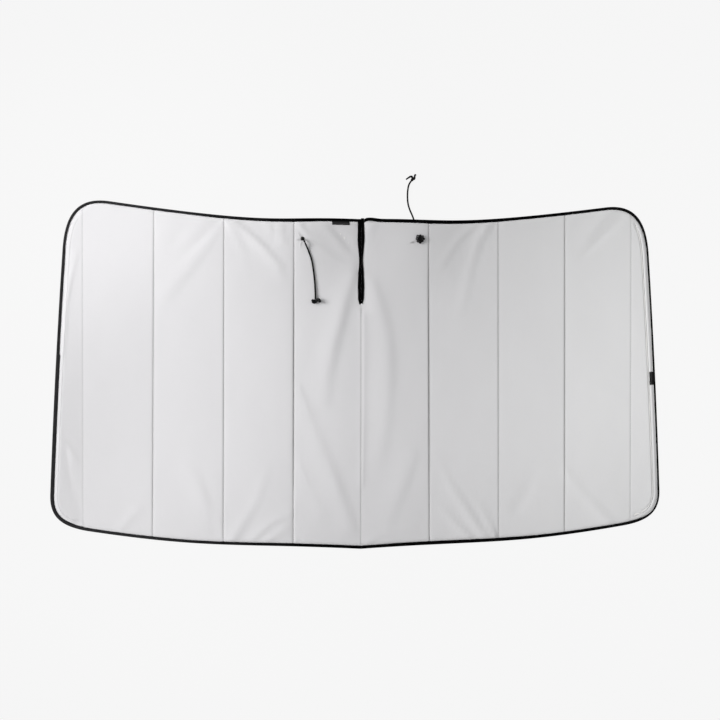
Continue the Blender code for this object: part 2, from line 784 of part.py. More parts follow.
def cord_centres(side, route, on_face, start):
    """The cord's middle line in the part's frame, evenly spaced along a smooth curve from its stop."""
    ox, oy = eyelet_centre(side)
    points = [(ox, oy, start)]
    for dx, dy, height in route:
        x, y = ox + dx, oy + dy
        bed = float(lift(x, y)) + COVER_HEIGHT if on_face else FLOOR_CLEARANCE
        points.append((x, y, bed + height))
    curve = smooth_curve(points)
    total = lengths(curve)[-1]
    count = math.ceil(total / CORD_STEP)
    return at_length(curve, np.linspace(0.0, total, count + 1))


def joined(body, name, mesh):
    """Joins another closed mesh to a body; its object is only a guide."""
    guide = bpy.data.objects.new(name, mesh)
    guide.parent = body
    guide.hide_render = True
    guide.display_type = "WIRE"
    bpy.context.scene.collection.objects.link(guide)
    union = body.modifiers.new(name, "BOOLEAN")
    union.operation = "UNION"
    union.solver = "EXACT"
    union.object = guide


def mesh_of(name, build, **options):
    """A mesh made by one bmesh primitive."""
    shape = bmesh.new()
    build(shape, **options)
    mesh = bpy.data.meshes.new(name)
    shape.to_mesh(mesh)
    shape.free()
    mesh.shade_smooth()
    mesh.set_sharp_from_angle(angle=math.radians(40))
    return mesh


def make_hook(label, cord_end, heading, finish):
    """A moulded double hook: a hub that takes the cord, and two arms that bend away to round tips."""
    hub = mesh_of(
        "hook_hub", bmesh.ops.create_cone, cap_ends=True, segments=16, radius1=HOOK_HUB_RADIUS,
        radius2=HOOK_HUB_RADIUS, depth=HOOK_HUB_LENGTH, matrix=Matrix.Rotation(math.pi / 2, 4, "X"),
    )
    hub.materials.append(finish)
    hook = bpy.data.objects.new(f"cord_hook_{label}", hub)
    bpy.context.scene.collection.objects.link(hook)
    for arm, (tip_radius, places) in enumerate(HOOK_ARMS[label]):
        route = smooth_curve(places, samples=3)
        tube = make_tube("arm_line", route, HOOK_ARM_RADIUS, finish)
        bpy.context.view_layer.update()
        joined(hook, f"hook_arm_{label}_{arm}", bpy.data.meshes.new_from_object(tube))
        bpy.data.objects.remove(tube, do_unlink=True)
        ball = mesh_of(
            "hook_tip", bmesh.ops.create_uvsphere, u_segments=12, v_segments=8,
            radius=tip_radius, matrix=Matrix.Translation(route[-1]),
        )
        joined(hook, f"hook_tip_{label}_{arm}", ball)
    hook.location = Vector(cord_end) + Vector(heading) * (CORD_END_GAP + HOOK_HUB_LENGTH / 2)
    hook.rotation_euler = (0.0, 0.0, math.atan2(heading[1], heading[0]) - math.pi / 2)


def make_cord(label, side, route, on_face, start, stop_underside):
    """An elastic cord from its stop at the eyelet to its hook."""
    centres = cord_centres(side, route, on_face, start)
    elastic = material(f"black elastic cord {label}", (0.01, 0.01, 0.011), 0.75)
    moulded = material(f"black moulded plastic {label}", (0.014, 0.014, 0.016), 0.4)
    make_tube(f"elastic_cord_{label}", centres, CORD_RADIUS, elastic)
    heading = centres[-1] - centres[-2]
    heading[2] = 0.0
    heading /= np.linalg.norm(heading)
    make_hook(label, centres[-1], heading, moulded)
    make_cord_stop(label, side, stop_underside, moulded)


def make_cords():
    """The left cord lies on the face with its stop behind; the right one leaves under the top edge."""
    over_eyelet = LIFT_HEIGHT + COVER_HEIGHT + 2 * GAP + EYELET_FLANGE_THICKNESS
    make_cord("left", -1, FRONT_CORD_ROUTE, True, STOP_THICKNESS + CORD_END_GAP, 0.0)
    make_cord("right", 1, BACK_CORD_ROUTE, False, over_eyelet - CORD_END_GAP, over_eyelet)


# Labels


def label_underside(x, y):
    """Just above the face, following its rise from the binding and nothing else."""
    rise = ramp(outline_distance(x, y), EDGE_FOOT, EDGE_TOP)
    return lift(x, y) + FACE_IN_TAPE + (FACE_OVER_BOARD - FACE_IN_TAPE) * rise + FABRIC + GAP


def label_sheet(name, near, far, finish):
    """A label between two lines of places, the near one along the binding."""
    loop = np.vstack([near, far[::-1]])
    inner = [(a + b) / 2 for a, b in zip(near[1:-1], far[1:-1])]
    sheet(name, loop, label_underside, LABEL_THICKNESS, finish, points=inner)


def make_labels():
    woven = material("black woven label", (0.02, 0.02, 0.022), 0.65)
    start = TOP_LABEL_FROM_SLIT
    across = -np.linspace(start, start + TOP_LABEL_LENGTH, 4)
    near = np.array([(x, top_edge_height(x) - EDGE_FOOT) for x in across])
    label_sheet("top_label", near, near - (0.0, TOP_LABEL_HEIGHT), woven)
    s = lengths(HALF)
    side = (s > STRETCH_ENDS[1]) & (s < STRETCH_ENDS[2])
    middle = np.interp(-SIDE_LABEL_CENTRE, -HALF[side][:, 1], s[side])
    along = middle + np.linspace(-0.5, 0.5, 3) * SIDE_LABEL_LENGTH
    edge = at_length(HALF, along)
    normal = inward_normals(edge)[1]
    near = edge + EDGE_FOOT * normal
    label_sheet("side_label", near, near + SIDE_LABEL_HEIGHT * normal, woven)


def main():
    clear_scene()
    make_lining()
    make_boards()
    make_face()
    make_bindings()
    for label, side in (("left", -1), ("right", 1)):
        make_eyelet(label, side)
    make_cords()
    make_labels()


main()
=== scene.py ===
"""Looks of a windscreen frost cover that lies flat with its light face up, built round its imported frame.

Metres. +X runs across the windscreen, +Y towards the slit in the top edge, and +Z up out of the face.
"""

import math

import bpy
import numpy as np
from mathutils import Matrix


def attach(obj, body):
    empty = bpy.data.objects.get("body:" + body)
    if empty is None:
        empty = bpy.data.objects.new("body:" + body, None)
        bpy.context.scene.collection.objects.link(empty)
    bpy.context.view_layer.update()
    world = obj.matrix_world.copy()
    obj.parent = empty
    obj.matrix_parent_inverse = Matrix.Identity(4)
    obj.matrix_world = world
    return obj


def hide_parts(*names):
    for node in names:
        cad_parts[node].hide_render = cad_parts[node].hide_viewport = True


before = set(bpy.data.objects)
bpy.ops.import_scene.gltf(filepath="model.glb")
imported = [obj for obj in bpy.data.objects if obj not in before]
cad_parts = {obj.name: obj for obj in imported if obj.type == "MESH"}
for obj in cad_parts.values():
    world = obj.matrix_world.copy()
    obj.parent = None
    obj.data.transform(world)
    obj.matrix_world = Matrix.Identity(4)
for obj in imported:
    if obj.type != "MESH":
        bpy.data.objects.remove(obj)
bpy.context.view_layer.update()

# Sizes of the cover in metres, most of them as in the model's own source
BAY = 0.1667
OUTER_SEAM = 4 * BAY
WING_TOP, WING_BOTTOM = 0.0367, 0.0753
CENTRE_HEIGHT, TOP_RISE, BOTTOM_RISE, SIDE_BOW = 0.7966, 0.0497, 0.0653, 0.0041
FACE_TOP = 0.0058
FACE_IN_TAPE = 0.0026
FACE_AT_SEAM = 0.0014
FABRIC = 0.0005
FABRIC_INSET = 0.0012
TAPE_WIDTH, TAPE_HEIGHT, TAPE = 0.0078, 0.0038, 0.0008
SLIT_LENGTH, SLIT_CLEARANCE = 0.2062, -0.00005
SLIT_CUT = 0.00135
SLIT_RAISE = (0.0026, 0.0032)
WING_LINE = 0.0172

# Top and bottom edges: slope and hold at the centre line, then at the corner
TOP_EDGE_SHAPE, BOTTOM_EDGE_SHAPE = (0.032, 0.311, 0.142, 0.739), (0.059, 0.449, 0.176, 0.496)

# Rounded corners: how far they reach along the first and the second edge, clockwise, and how full they are
TOP_CORNER, BOTTOM_CORNER = (0.1026, 0.1274, 0.69), (0.0715, 0.0945, 0.72)

# Eyelets, cords, stops and labels
EYELET_X, EYELET_FROM_TOP = 0.1427, 0.0495
LIFT_HEIGHT, LIFT_REACH = 0.0064, 0.150
CORD_DIAMETER = 0.0040
CORD_STEP = 0.0018
FRONT_EXIT, BACK_EXIT = 0.0134, 0.0064
FLOOR_CLEARANCE = 0.0003
EYELET_BORE, EYELET_BARREL, EYELET_FLANGE = 0.0030, 0.0035, 0.0048
EYELET_FOOT, EYELET_SEAT, EYELET_TOP = 0.0052, 0.0125, 0.0133
OUTER_ROLL, INNER_ROLL = 0.0004, 0.0006
STOP_RADIUS, STOP_NOTCH, STOP_HEIGHT = 0.0110, 0.0022, 0.0048
STOP_ASIDE = (-0.0012, 0.0021)
OVER_EYELET = 0.0138
END_GAP = 0.0003
TOP_LABEL_LENGTH, TOP_LABEL_WIDTH, TOP_LABEL_FROM_SLIT, TOP_LABEL_FROM_EDGE = 0.0425, 0.0090, 0.0282, 0.0070
SIDE_LABEL_LENGTH, SIDE_LABEL_BELOW_CENTRE, SIDE_LABEL_FROM, SIDE_LABEL_TO = 0.0325, 0.0045, 0.0045, 0.0158
LABEL_THICKNESS, LABEL_BEVEL = 0.0005, 0.00012

# Stitches: how far apart, how long and how thick along the tapes and along the lines across the face
TAPE_STITCH, LINE_STITCH = (0.0038, 0.0030, 0.00019), (0.0042, 0.0031, 0.00017)
STITCH_FROM_FREE_EDGE, STITCH_SUNK, STITCH_RAISED = 0.0019, 0.0002, 0.00008

# The cloth's folds: how wide a fold is to the right of its crest and to the left in mm, then points along the foot
# of its right flank, which is dark: x and y in mm and height in tenths of a mm; a negative height is a hollow
FOLDS = [
    (10, 30, [(-342, 351, 6), (-378, 290, 14), (-420, 237, 13), (-470, 179, 8)]),
    (7, 14, [(-350, 358, -9), (-382, 322, -15), (-430, 277, -3)]),
    (8, 22, [(-406, 366, -7), (-439, 321, -7), (-471, 280, 0)]),
    (4, 15, [(-306, 374, 24), (-241, 320, 34), (-198, 271, 18), (-183, 226, 3)]),
    (5, 12, [(-324, 376, 19), (-297, 335, 14), (-278, 290, 6), (-271, 235, 1)]),
    (4, 8, [(-196, 373, 18), (-192, 351, 26), (-188, 324, 24)]),
    (4, 8, [(-228, 375, 16), (-217, 353, 18), (-209, 342, 3)]),
    (5, 10, [(-131, 329, 8), (-96, 313, 9), (-62, 283, 3)]),
    (6, 10, [(-152, 371, 12), (-128, 345, 12), (-110, 338, 3)]),
    (6, 9, [(-89, 368, 9), (-52, 323, 12), (-12, 282, 4)]),
    (5, 8, [(-62, 361, -11), (-34, 332, -14), (-14, 305, -8)]),
    (9, 30, [(-10, 262, 14), (-31, 182, 30), (-42, 136, 32), (-61, 60, 24), (-74, -10, 14), (-79, -70, 10)]),
    (9, 30, [(-145, -27, 9), (-114, -106, 10), (-77, -190, 13), (-48, -268, 21), (-12, -367, 11)]),
    (7, 18, [(-143, -213, 6), (-119, -267, 4), (-88, -328, 6)]),
    (6, 18, [(-307, -396, 19), (-248, -303, 9), (-218, -216, 4)]),
    (5, 10, [(-260, -395, 15), (-219, -356, 14), (-165, -330, 6)]),
    (5, 9, [(-225, -397, 19), (-182, -371, 11)]),
    (8, 24, [(-340, -349, 7), (-377, -272, 10), (-410, -205, 4)]),
    (6, 14, [(-346, -380, -6), (-352, -310, -7), (-370, -234, -3)]),
    (6, 12, [(-573, -364, 12), (-528, -320, 8)]),
    (4, 9, [(-715, -148, 12), (-691, -166, 8), (-678, -198, 8)]),
    (6, 10, [(-699, -175, -6), (-693, -221, -6), (-676, -285, -5), (-668, -333, -3)]),
    (6, 10, [(-676, 290, 9), (-700, 170, 14), (-708, 50, 14)]),
    (12, 34, [
        (10, 258, 14), (36, 222, 20), (57, 166, 22), (72, 100, 21), (78, 15, 19), (74, -66, 15), (68, -136, 11),
        (52, -211, 5)]),
    (28, 8, [(24, 362, 10), (24, 310, 14), (24, 265, 6)]),
    (5, 9, [(31, 365, 18), (14, 312, 13)]),
    (5, 14, [(321, 376, 26), (290, 325, 21), (271, 259, 13), (258, 198, 9), (243, 149, 5)]),
    (4, 12, [(288, 373, 11), (237, 327, 14), (197, 266, 9)]),
    (5, 10, [(236, 370, 6), (196, 347, 0)]),
    (9, 18, [(617, 400, 11), (578, 357, 11), (549, 322, 3)]),
    (5, 12, [(647, 383, -9), (600, 340, -13), (538, 276, -4)]),
    (12, 26, [(138, -190, 6), (107, -276, 13), (71, -370, 4)]),
    (5, 10, [(19, -404, 11), (61, -384, 7), (131, -373, 4)]),
    (4, 14, [(185, -181, 3), (220, -259, 10), (257, -315, 22), (312, -394, 30)]),
    (3.5, 9, [(197, -314, 5), (233, -356, 20), (273, -395, 27)]),
    (5, 9, [(293, -313, 8), (311, -350, 23), (327, -386, 28)]),
    (10, 16, [(387, -331, -9), (414, -289, -6), (433, -233, -3)]),
    (7, 16, [(506, -226, 9), (549, -281, 13), (620, -357, 18)]),
    (12, 16, [(561, -9, 3), (611, -32, 7), (658, -48, 5)]),
    (4, 12, [(10, 160, 8), (12, 75, 8), (11, -60, 7), (8, -260, 7)]),
]
FOLD_END = 0.014

# Creases in the face that run out from each eyelet: heading in degrees, distance from the eyelet, crest's height
EYELET_CREASES = {
    -1: [(132, 0.013, 0.0009), (192, 0.012, 0.0009), (250, 0.014, 0.0012)],
    1: [(199, 0.019, 0.0012)],
}

# Each stitched line, from the left: how far it draws the face down, how wide its valley is to the left and to the
# right, how much painted shade darkens its stitched bottom (partly needle holes and crease dirt), and how far it
# lies to the right of its place at the bottom and at the top
SEAM_DRAW, SEAM_LEFT, SEAM_RIGHT, SEAM_SHADE, SEAM_LOW_MOVE, SEAM_HIGH_MOVE = np.array([
    (0.0003, 0.0050, 0.0060, 0.14, 0.0040, 0.0012),
    (0.0009, 0.0070, 0.0064, 0.56, 0.0000, 0.0022),
    (0.0010, 0.0064, 0.0066, 0.52, 0.0010, 0.0015),
    (0.0016, 0.0125, 0.0062, 1.00, 0.0022, 0.0030),
    (0.0003, 0.0045, 0.0060, 0.32, 0.0000, 0.0000),
    (0.0014, 0.0062, 0.0054, 1.00, -0.0005, -0.0040),
    (0.0007, 0.0052, 0.0052, 0.50, 0.0024, 0.0008),
    (0.0011, 0.0056, 0.0060, 0.74, 0.0000, 0.0000),
    (0.0004, 0.0050, 0.0064, 0.16, -0.0020, 0.0000),
]).T

# The face's relief: a bay's crown, its broad and its small waves, the puckers along the tape and along the slit, and
# the hollow round an eyelet
BAY_CROWN, BROAD_WAVE, SMALL_WAVE, EDGE_PUCKER, SLIT_PUCKER = 0.0006, 0.00022, 0.00010, 0.00028, 0.0003
EYELET_HOLLOW = 0.0005

# How deep the wings' inner line is and how far the wing sinks outside it, on the left and on the right
WING_GROOVE, WING_SINK = (0.0005, 0.0016), (0.0, 0.0006)

# How far the middle of the cover is drawn to the left as it lies in the picture
MIDDLE_DRAWN = 0.0021

UP = np.array([0.0, 0.0, 1.0])
SIDES = ((-1, "left"), (1, "right"))


def held(share):
    """The share kept between 0 and 1."""
    return np.clip(share, 0.0, 1.0)


def eased(share):
    """3 s squared less 2 s cubed: from 0 to 1 with no slope at either end."""
    return share * share * (3 - 2 * share)


def unit(rows):
    """Rows of vectors, each divided by its own length."""
    return rows / np.linalg.norm(rows, axis=1)[:, None]


def full_turn(around):
    """Evenly spaced turns, from 0 to one step short of two pi."""
    return 2 * math.pi * np.arange(around) / around


# Curves in the plane


def bezier(start, hold_start, hold_end, end, count):
    """Cubic curve: the sum of its four points, each times its Bernstein weight of t."""
    t = np.linspace(0.0, 1.0, count)[:, None]
    weights = ((1 - t) ** 3, 3 * t * (1 - t) ** 2, 3 * t**2 * (1 - t), t**3)
    return sum(w * np.array(p) for w, p in zip(weights, (start, hold_start, hold_end, end)))


def edge_curve(inner, corner, inner_slope, inner_hold, outer_slope, outer_hold):
    """An edge from the centre line to a corner, held along a slope at each end."""
    width = corner[0]
    hold_in = (inner[0] + inner_hold * width, inner[1] + inner_slope * inner_hold * width)
    hold_out = (corner[0] - outer_hold * width, corner[1] - outer_slope * outer_hold * width)
    return bezier(inner, hold_in, hold_out, corner, 160)


def lengths(curve):
    """Length along a polyline at each of its points."""
    return np.concatenate([[0.0], np.cumsum(np.linalg.norm(np.diff(curve, axis=0), axis=1))])


def read_at(spots, marks, rows):
    """Rows of numbers that are known at the marks, read at the spots between them."""
    return np.stack([np.interp(spots, marks, column) for column in rows.T], axis=-1)


def at_length(curve, spots):
    """Points of a polyline at the given lengths along it."""
    return read_at(spots, lengths(curve), curve)


def cut_end(curve, reach):
    """The curve without the last reach of its length."""
    end = lengths(curve)[-1] - reach
    return np.vstack([curve[lengths(curve) < end], at_length(curve, end)])


def rounded(start, corner, end, fullness):
    """A corner's curve, held towards the sharp corner by its fullness."""
    return bezier(start, start + fullness * (corner - start), end + fullness * (corner - end), end, 40)


def half_outline():
    """Right half of the outer edge, clockwise from the top centre, and the lengths at its joins."""
    top_corner = np.array([OUTER_SEAM + WING_TOP, CENTRE_HEIGHT + TOP_RISE])
    bottom_corner = np.array([OUTER_SEAM + WING_BOTTOM, BOTTOM_RISE])
    top = edge_curve((0.0, CENTRE_HEIGHT), top_corner, *TOP_EDGE_SHAPE)
    bottom = edge_curve((0.0, 0.0), bottom_corner, *BOTTOM_EDGE_SHAPE)
    s = np.linspace(0.0, 1.0, 120)[:, None]
    side = top_corner * (1 - s) + bottom_corner * s + np.hstack([4 * SIDE_BOW * s * (1 - s), 0 * s])
    top = cut_end(top, TOP_CORNER[0])
    side = cut_end(cut_end(side[::-1], TOP_CORNER[1])[::-1], BOTTOM_CORNER[0])
    bottom = cut_end(bottom, BOTTOM_CORNER[1])[::-1]
    first = rounded(top[-1], top_corner, side[0], TOP_CORNER[2])
    second = rounded(side[-1], bottom_corner, bottom[0], BOTTOM_CORNER[2])
    pieces = [top, first[1:], side[1:], second[1:], bottom[1:]]
    curve = np.vstack(pieces)
    curve[:, 1] -= (curve[:, 1].max() + curve[:, 1].min()) / 2
    ends = np.cumsum([len(piece) for piece in pieces]) - 1
    return curve, [lengths(curve)[end] for end in ends]


def inward_normals(curve):
    """Unit normals to the right of the direction of travel; upright on the centre line."""
    along = np.gradient(curve, axis=0)
    normals = unit(np.stack([along[:, 1], -along[:, 0]], axis=1))
    normals[0], normals[-1] = (0.0, -1.0), (0.0, 1.0)
    return normals


HALF, JOINS = half_outline()
HALF_LENGTHS = lengths(HALF)
HALF_NORMALS = inward_normals(HALF)
FABRIC_EDGE = HALF + FABRIC_INSET * HALF_NORMALS
TOP_END = int(np.argmax(HALF_LENGTHS >= (JOINS[0] + JOINS[1]) / 2))
BOTTOM_START = int(np.argmax(HALF_LENGTHS >= (JOINS[2] + JOINS[3]) / 2))


def top_edge(x):
    """y of the top edge at each x, the same on both sides."""
    return np.interp(np.abs(x), HALF[:TOP_END, 0], HALF[:TOP_END, 1])


CENTRE_TOP = float(top_edge(0.0))
SLIT_END = CENTRE_TOP - SLIT_LENGTH
EYELET_Y = float(top_edge(EYELET_X)) - EYELET_FROM_TOP


def outline_distance(x, y):
    """Distance of each place from the outer edge: the least over the edge's pieces, in slices of places."""
    starts = HALF[:-1:2]
    run = np.vstack([HALF[2::2], HALF[-1:]])[: len(starts)] - starts
    places = np.stack([np.abs(x).ravel(), y.ravel()], axis=1)
    found = []
    for part in np.array_split(places, max(1, len(places) // 4000)):
        offset = part[:, None, :] - starts
        share = np.clip((offset * run).sum(axis=2) / (run * run).sum(axis=1), 0.0, 1.0)
        found.append(np.linalg.norm(offset - share[:, :, None] * run, axis=2).min(axis=1))
    return np.concatenate(found).reshape(np.shape(x))


def settled(points):
    """Places of the true outline moved to the lie in the picture: the middle is drawn a little to the left."""
    points = np.array(points, float)
    points[..., 0] -= MIDDLE_DRAWN * np.exp(-((points[..., 0] / 0.16) ** 10))
    return points


def with_moved_seams(points):
    """Points of the cloth with each stitched line moved sideways, by its bottom and top amounts."""
    points = np.array(points, float)
    x, y = points[..., 0], points[..., 1]
    near, away = nearest_seam(x)
    low, high = SEAM_LOW_MOVE[near], SEAM_HIGH_MOVE[near]
    points[..., 0] = x + (low + (high - low) * held((y + 0.40) / 0.78)) * np.exp(-((away / 0.016) ** 4))
    return points


# Heights of the cloth


def rise(distance, foot, reach):
    """0 up to the foot and 1 from foot + reach on, along a quarter of an ellipse: steep first, then round."""
    return np.sqrt(1 - (1 - held((distance - foot) / reach)) ** 2)


def bell(distance, width):
    """Gauss bell, 1 in the middle."""
    return np.exp(-((distance / width) ** 2))


def lift(x, y):
    """Sum over both eyelets of the lift height times cos squared of a quarter turn per reach."""
    total = np.zeros(np.broadcast(x, y).shape)
    for side in (-1, 1):
        away = np.hypot(x - side * EYELET_X, y - EYELET_Y) / LIFT_REACH
        total += LIFT_HEIGHT * np.cos(np.minimum(away, 1.0) * math.pi / 2) ** 2
    return total


def waves(x, y, size, seed, stretch=1.0, count=7):
    """Sum of plane waves of about one size in spread directions, scaled to about -1 to 1."""
    draw = np.random.default_rng(seed)
    turns = draw.uniform(0, math.pi, count)
    scales = draw.uniform(0.7, 1.5, count) * 2 * math.pi / size
    shifts = draw.uniform(0, 2 * math.pi, count)
    total = np.zeros(np.broadcast(x, y).shape)
    for turn, scale, shift in zip(turns, scales, shifts):
        total += np.sin(scale * (math.cos(turn) * x + math.sin(turn) * y / stretch) + shift)
    return total / math.sqrt(2 * count)


def along_line(x, y, points):
    """Distance from a polyline, the side of it (+1 towards +X) and the share of its length, at each place."""
    points = np.array(points, float)
    total = lengths(points)
    best = np.full(np.shape(x), np.inf)
    side, share = np.ones(np.shape(x)), np.zeros(np.shape(x))
    for k in range(len(points) - 1):
        start, run = points[k], points[k + 1] - points[k]
        t = np.clip(((x - start[0]) * run[0] + (y - start[1]) * run[1]) / (run @ run), 0.0, 1.0)
        dx, dy = x - start[0] - t * run[0], y - start[1] - t * run[1]
        away = np.hypot(dx, dy)
        nearer = away < best
        best = np.where(nearer, away, best)
        side = np.where(nearer, np.where(dx > 0, 1.0, -1.0), side)
        share = np.where(nearer, (total[k] + t * (total[k + 1] - total[k])) / total[-1], share)
    return best, side, share


def folds(x, y):
    """Soft folds: height times a bell across, its crest beside the drawn line, fading out past both ends."""
    total = np.zeros(np.shape(x))
    for right, left, points in FOLDS:
        right, left = right / 1000, left / 1000
        table = np.array(points) / (1000, 1000, 10000)
        line = table[:, :2]
        first, last = line[0] - line[1], line[-1] - line[-2]
        ends = line[0] + first * FOLD_END / np.hypot(*first), line[-1] + last * FOLD_END / np.hypot(*last)
        line = np.vstack([ends[0], line, ends[1]])
        height = np.concatenate([[0.0], table[:, 2], [0.0]])
        away, side, share = along_line(x, y, line)
        from_crest = side * away + 0.7 * right
        across = bell(from_crest, np.where(from_crest > 0, right, left))
        total += np.interp(share * lengths(line)[-1], lengths(line), height) * across
    return total


def nearest_seam(x):
    """Number of the nearest stitched line, counted from the left, and the distance to the right of it."""
    near = np.clip(np.rint(np.asarray(x) / BAY).astype(int) + 4, 0, 8)
    return near, x - (near - 4) * BAY


def seam_depth(x):
    """How far the nearest stitched line draws the face down at each x."""
    near, away = nearest_seam(x)
    reach = np.where(away < 0, SEAM_LEFT[near], SEAM_RIGHT[near])
    return SEAM_DRAW[near] * (1 - rise(np.abs(away), 0.0, reach))


def slit_raise(x, y):
    """How far the boards' stiffness holds the cloth and tape up along the slit, away from the outer edge."""
    beside = held(1.8 - np.abs(x) / 0.016)
    inside = held((CENTRE_TOP - y) / 0.030) * held((y - SLIT_END + 0.030) / 0.030)
    return np.where(x < 0, *SLIT_RAISE) * eased(beside) * eased(inside)


def open_of_slit(x, y):
    """Distance from the slit's line, or from its end."""
    return np.hypot(x, np.maximum(SLIT_END - y, 0.0))


def tape_extra(x, y):
    """How much wider than usual the tape lies along the top, the bottom and the left side."""
    top = 0.0017 * bell(x - 0.20, 0.13) + 0.0008 * bell(x + 0.16, 0.09)
    bottom = 0.0014 * bell(x - 0.22, 0.17)
    side = 0.0005 * (x < -0.70)
    return np.where(np.abs(y) < 0.30, side, np.where(y > 0, top, bottom))


def creases(x, y, side):
    """Short creases round one eyelet, bells across and along their headings: with crests of 1, which set their
    painted shade, and in metres.
    """
    dx, dy = x - side * EYELET_X, y - EYELET_Y
    away, turn = np.hypot(dx, dy), np.arctan2(dy, dx)
    shape, height = 0.0 * away, 0.0 * away
    for heading, middle, crest in EYELET_CREASES[side]:
        off = np.remainder(turn - math.radians(heading) + math.pi, 2 * math.pi) - math.pi
        one = bell(off * away, 0.0018) * bell(away - middle, 0.0065) * (np.abs(off) < 1.2)
        shape, height = shape + one, height + crest * one
    return shape, height


def face_height(x, y, distance):
    """Top of the face: over the boards, drawn down at the tape and stitched lines, with its folds and puckers."""
    slit = open_of_slit(x, y)
    beside_slit = held((slit - 0.0066) / np.where(x < 0, 0.0096, 0.0180))
    taped = np.minimum(rise(distance, 0.0072 + tape_extra(x, y), 0.0090), beside_slit)
    wing = held((np.abs(x) - OUTER_SEAM - 0.004) / 0.008)
    taped = np.where(x < 0, taped + wing * (held((distance - 0.0086) / 0.0090) - taped), taped)
    low = FACE_IN_TAPE + slit_raise(x, y)
    base = low + (FACE_TOP - low) * taped
    base -= wing * np.where(x < 0, *WING_GROOVE) * bell(distance - WING_LINE, 0.0024)
    base -= wing * np.where(x < 0, *WING_SINK) * (1 - rise(distance, WING_LINE, 0.008)) * taped
    within = np.abs(np.abs(x) / BAY - np.floor(np.abs(x) / BAY) - 0.5)
    crown = BAY_CROWN * held(1 - (2 * within) ** 2) * (np.abs(x) < OUTER_SEAM)
    loose = taped * held(1 - seam_depth(x) / 0.0044)
    soft = BROAD_WAVE * waves(x, y, 0.13, 3, 1.8) + SMALL_WAVE * waves(x, y, 0.045, 5, 1.6)
    edge_pucker = bell(distance - 0.010, 0.011) * EDGE_PUCKER * waves(x, y, 0.026, 9)
    slit_pucker = bell(slit - 0.011, 0.009) * SLIT_PUCKER * waves(4 * x, y, 0.05, 11) * (y > SLIT_END - 0.02)
    total = base - seam_depth(x) * taped + loose * (crown + soft + folds(x, y))
    total += taped * (edge_pucker + slit_pucker)
    for side in (-1, 1):
        hollow = EYELET_HOLLOW * bell(np.hypot(x - side * EYELET_X, y - EYELET_Y), 0.009)
        total += creases(x, y, side)[1] - hollow
    return np.maximum(total, FACE_AT_SEAM) + lift(x, y)


def face_over(x, y):
    """Top of the face at places whose distance from the edge is still to be found."""
    return face_height(x, y, outline_distance(x, y))


def painted_shade(x, y, distance):
    """Painted shade on the face: in its stitched lines' valleys (partly needle holes and crease dirt), along the
    wings' stitched groove, over the lower left wing, on the slope inside the left tape and in the eyelets' creases.
    """
    near, away = nearest_seam(x)
    far = np.abs(y) ** 3
    fade = np.where(np.abs(near - 4) == 1, np.maximum(1 - 20 * far, 0.45), 1 - 6.5 * far)
    # Painted shade along the bottom of each stitched valley, partly needle holes and crease dirt
    lines = SEAM_SHADE[near] * bell(away, 0.0022) * fade
    # Painted shade along the wings' stitched groove
    wing_groove_shade = 0.24 * bell(distance - WING_LINE, 0.0017) * (np.abs(x) > OUTER_SEAM + 0.008)
    # Painted shade over the lower part of the left wing
    left_wing_shade = 0.07 * held((-x - OUTER_SEAM) / 0.006) * held((distance - 0.014) / 0.006) * held(0.8 - 5 * y)
    # Painted shade on the slope just inside the left tape
    beside_tape_shade = 0.08 * bell(distance - 0.0115, 0.0040) * (x < -OUTER_SEAM)
    # Painted shade in the creases round the eyelets
    crease_shade = 0.5 * creases(x, y, -1)[0] + 0.9 * creases(x, y, 1)[0]
    return np.maximum(np.maximum(lines, wing_groove_shade), left_wing_shade + beside_tape_shade + crease_shade)


def lining_height(x, y, distance):
    """Underside of the lining: flat on what it lies on, up in the tape, and up to meet a shallow seam."""
    taped = np.minimum(rise(distance, 0.0080, 0.0085), rise(open_of_slit(x, y), 0.0080, 0.0070))
    near, away = nearest_seam(x)
    meets = np.maximum(0.0, FACE_TOP - SEAM_DRAW[near] - 0.0016) * bell(away, 0.0028)
    inside_tape = (0.0012 + slit_raise(x, y)) * (1 - taped)
    return lift(x, y) + inside_tape + meets * taped + 0.0001 * taped * (1 + waves(x, y, 0.06, 21))


# Meshes


def quads(rows, columns, ring_rows=False, ring_columns=False):
    """Quads of a grid of points and, for each corner, its row and column counted on without wrapping."""
    r = np.arange(rows if ring_rows else rows - 1)
    c = np.arange(columns if ring_columns else columns - 1)
    r, c = (grid.ravel() for grid in np.meshgrid(r, c, indexing="ij"))
    across = np.stack([r, r, r + 1, r + 1], axis=1)
    along = np.stack([c, c + 1, c + 1, c], axis=1)
    return (across % rows) * columns + along % columns, across, along


def end_faces(rows, columns):
    """The two faces that close a ring grid, at its first and its last row."""
    return [np.arange(columns)[::-1], (rows - 1) * columns + np.arange(columns)]


def into_scene(name, data):
    """An object made from a mesh, lamp or camera and put into the scene."""
    made = bpy.data.objects.new(name, data)
    bpy.context.scene.collection.objects.link(made)
    return made


def finished(name, mesh, finish):
    """A smooth piece at the origin with one finish, riding on the cover."""
    mesh.shade_smooth()
    mesh.materials.clear()
    mesh.materials.append(finish)
    made = into_scene(name, mesh)
    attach(made, "root")
    return made


def new_piece(name, points, faces, finish, uv=None, tags=None, flip=False, sharp=None):
    """A piece from its points and faces; uv has one pair for each corner, and tags one number for each point."""
    mesh = bpy.data.meshes.new(name)
    points = settled(points).reshape(-1, 3)
    mesh.from_pydata(points.tolist(), [], [(face[::-1] if flip else face).tolist() for face in faces])
    if uv is not None:
        corners = np.concatenate([pair[::-1] if flip else pair for pair in uv])
        mesh.uv_layers.new(name="UVMap").data.foreach_set("uv", corners.astype(np.float32).ravel())
    for tag, values in (tags or {}).items():
        made = mesh.attributes.new(tag, "FLOAT", "POINT")
        made.data.foreach_set("value", np.asarray(values, np.float32).ravel())
    made = finished(name, mesh, finish)
    if sharp:
        mesh.set_sharp_from_angle(angle=math.radians(sharp))
    return made


# The cloth's grid: columns follow the seams, rows follow the top and bottom edges

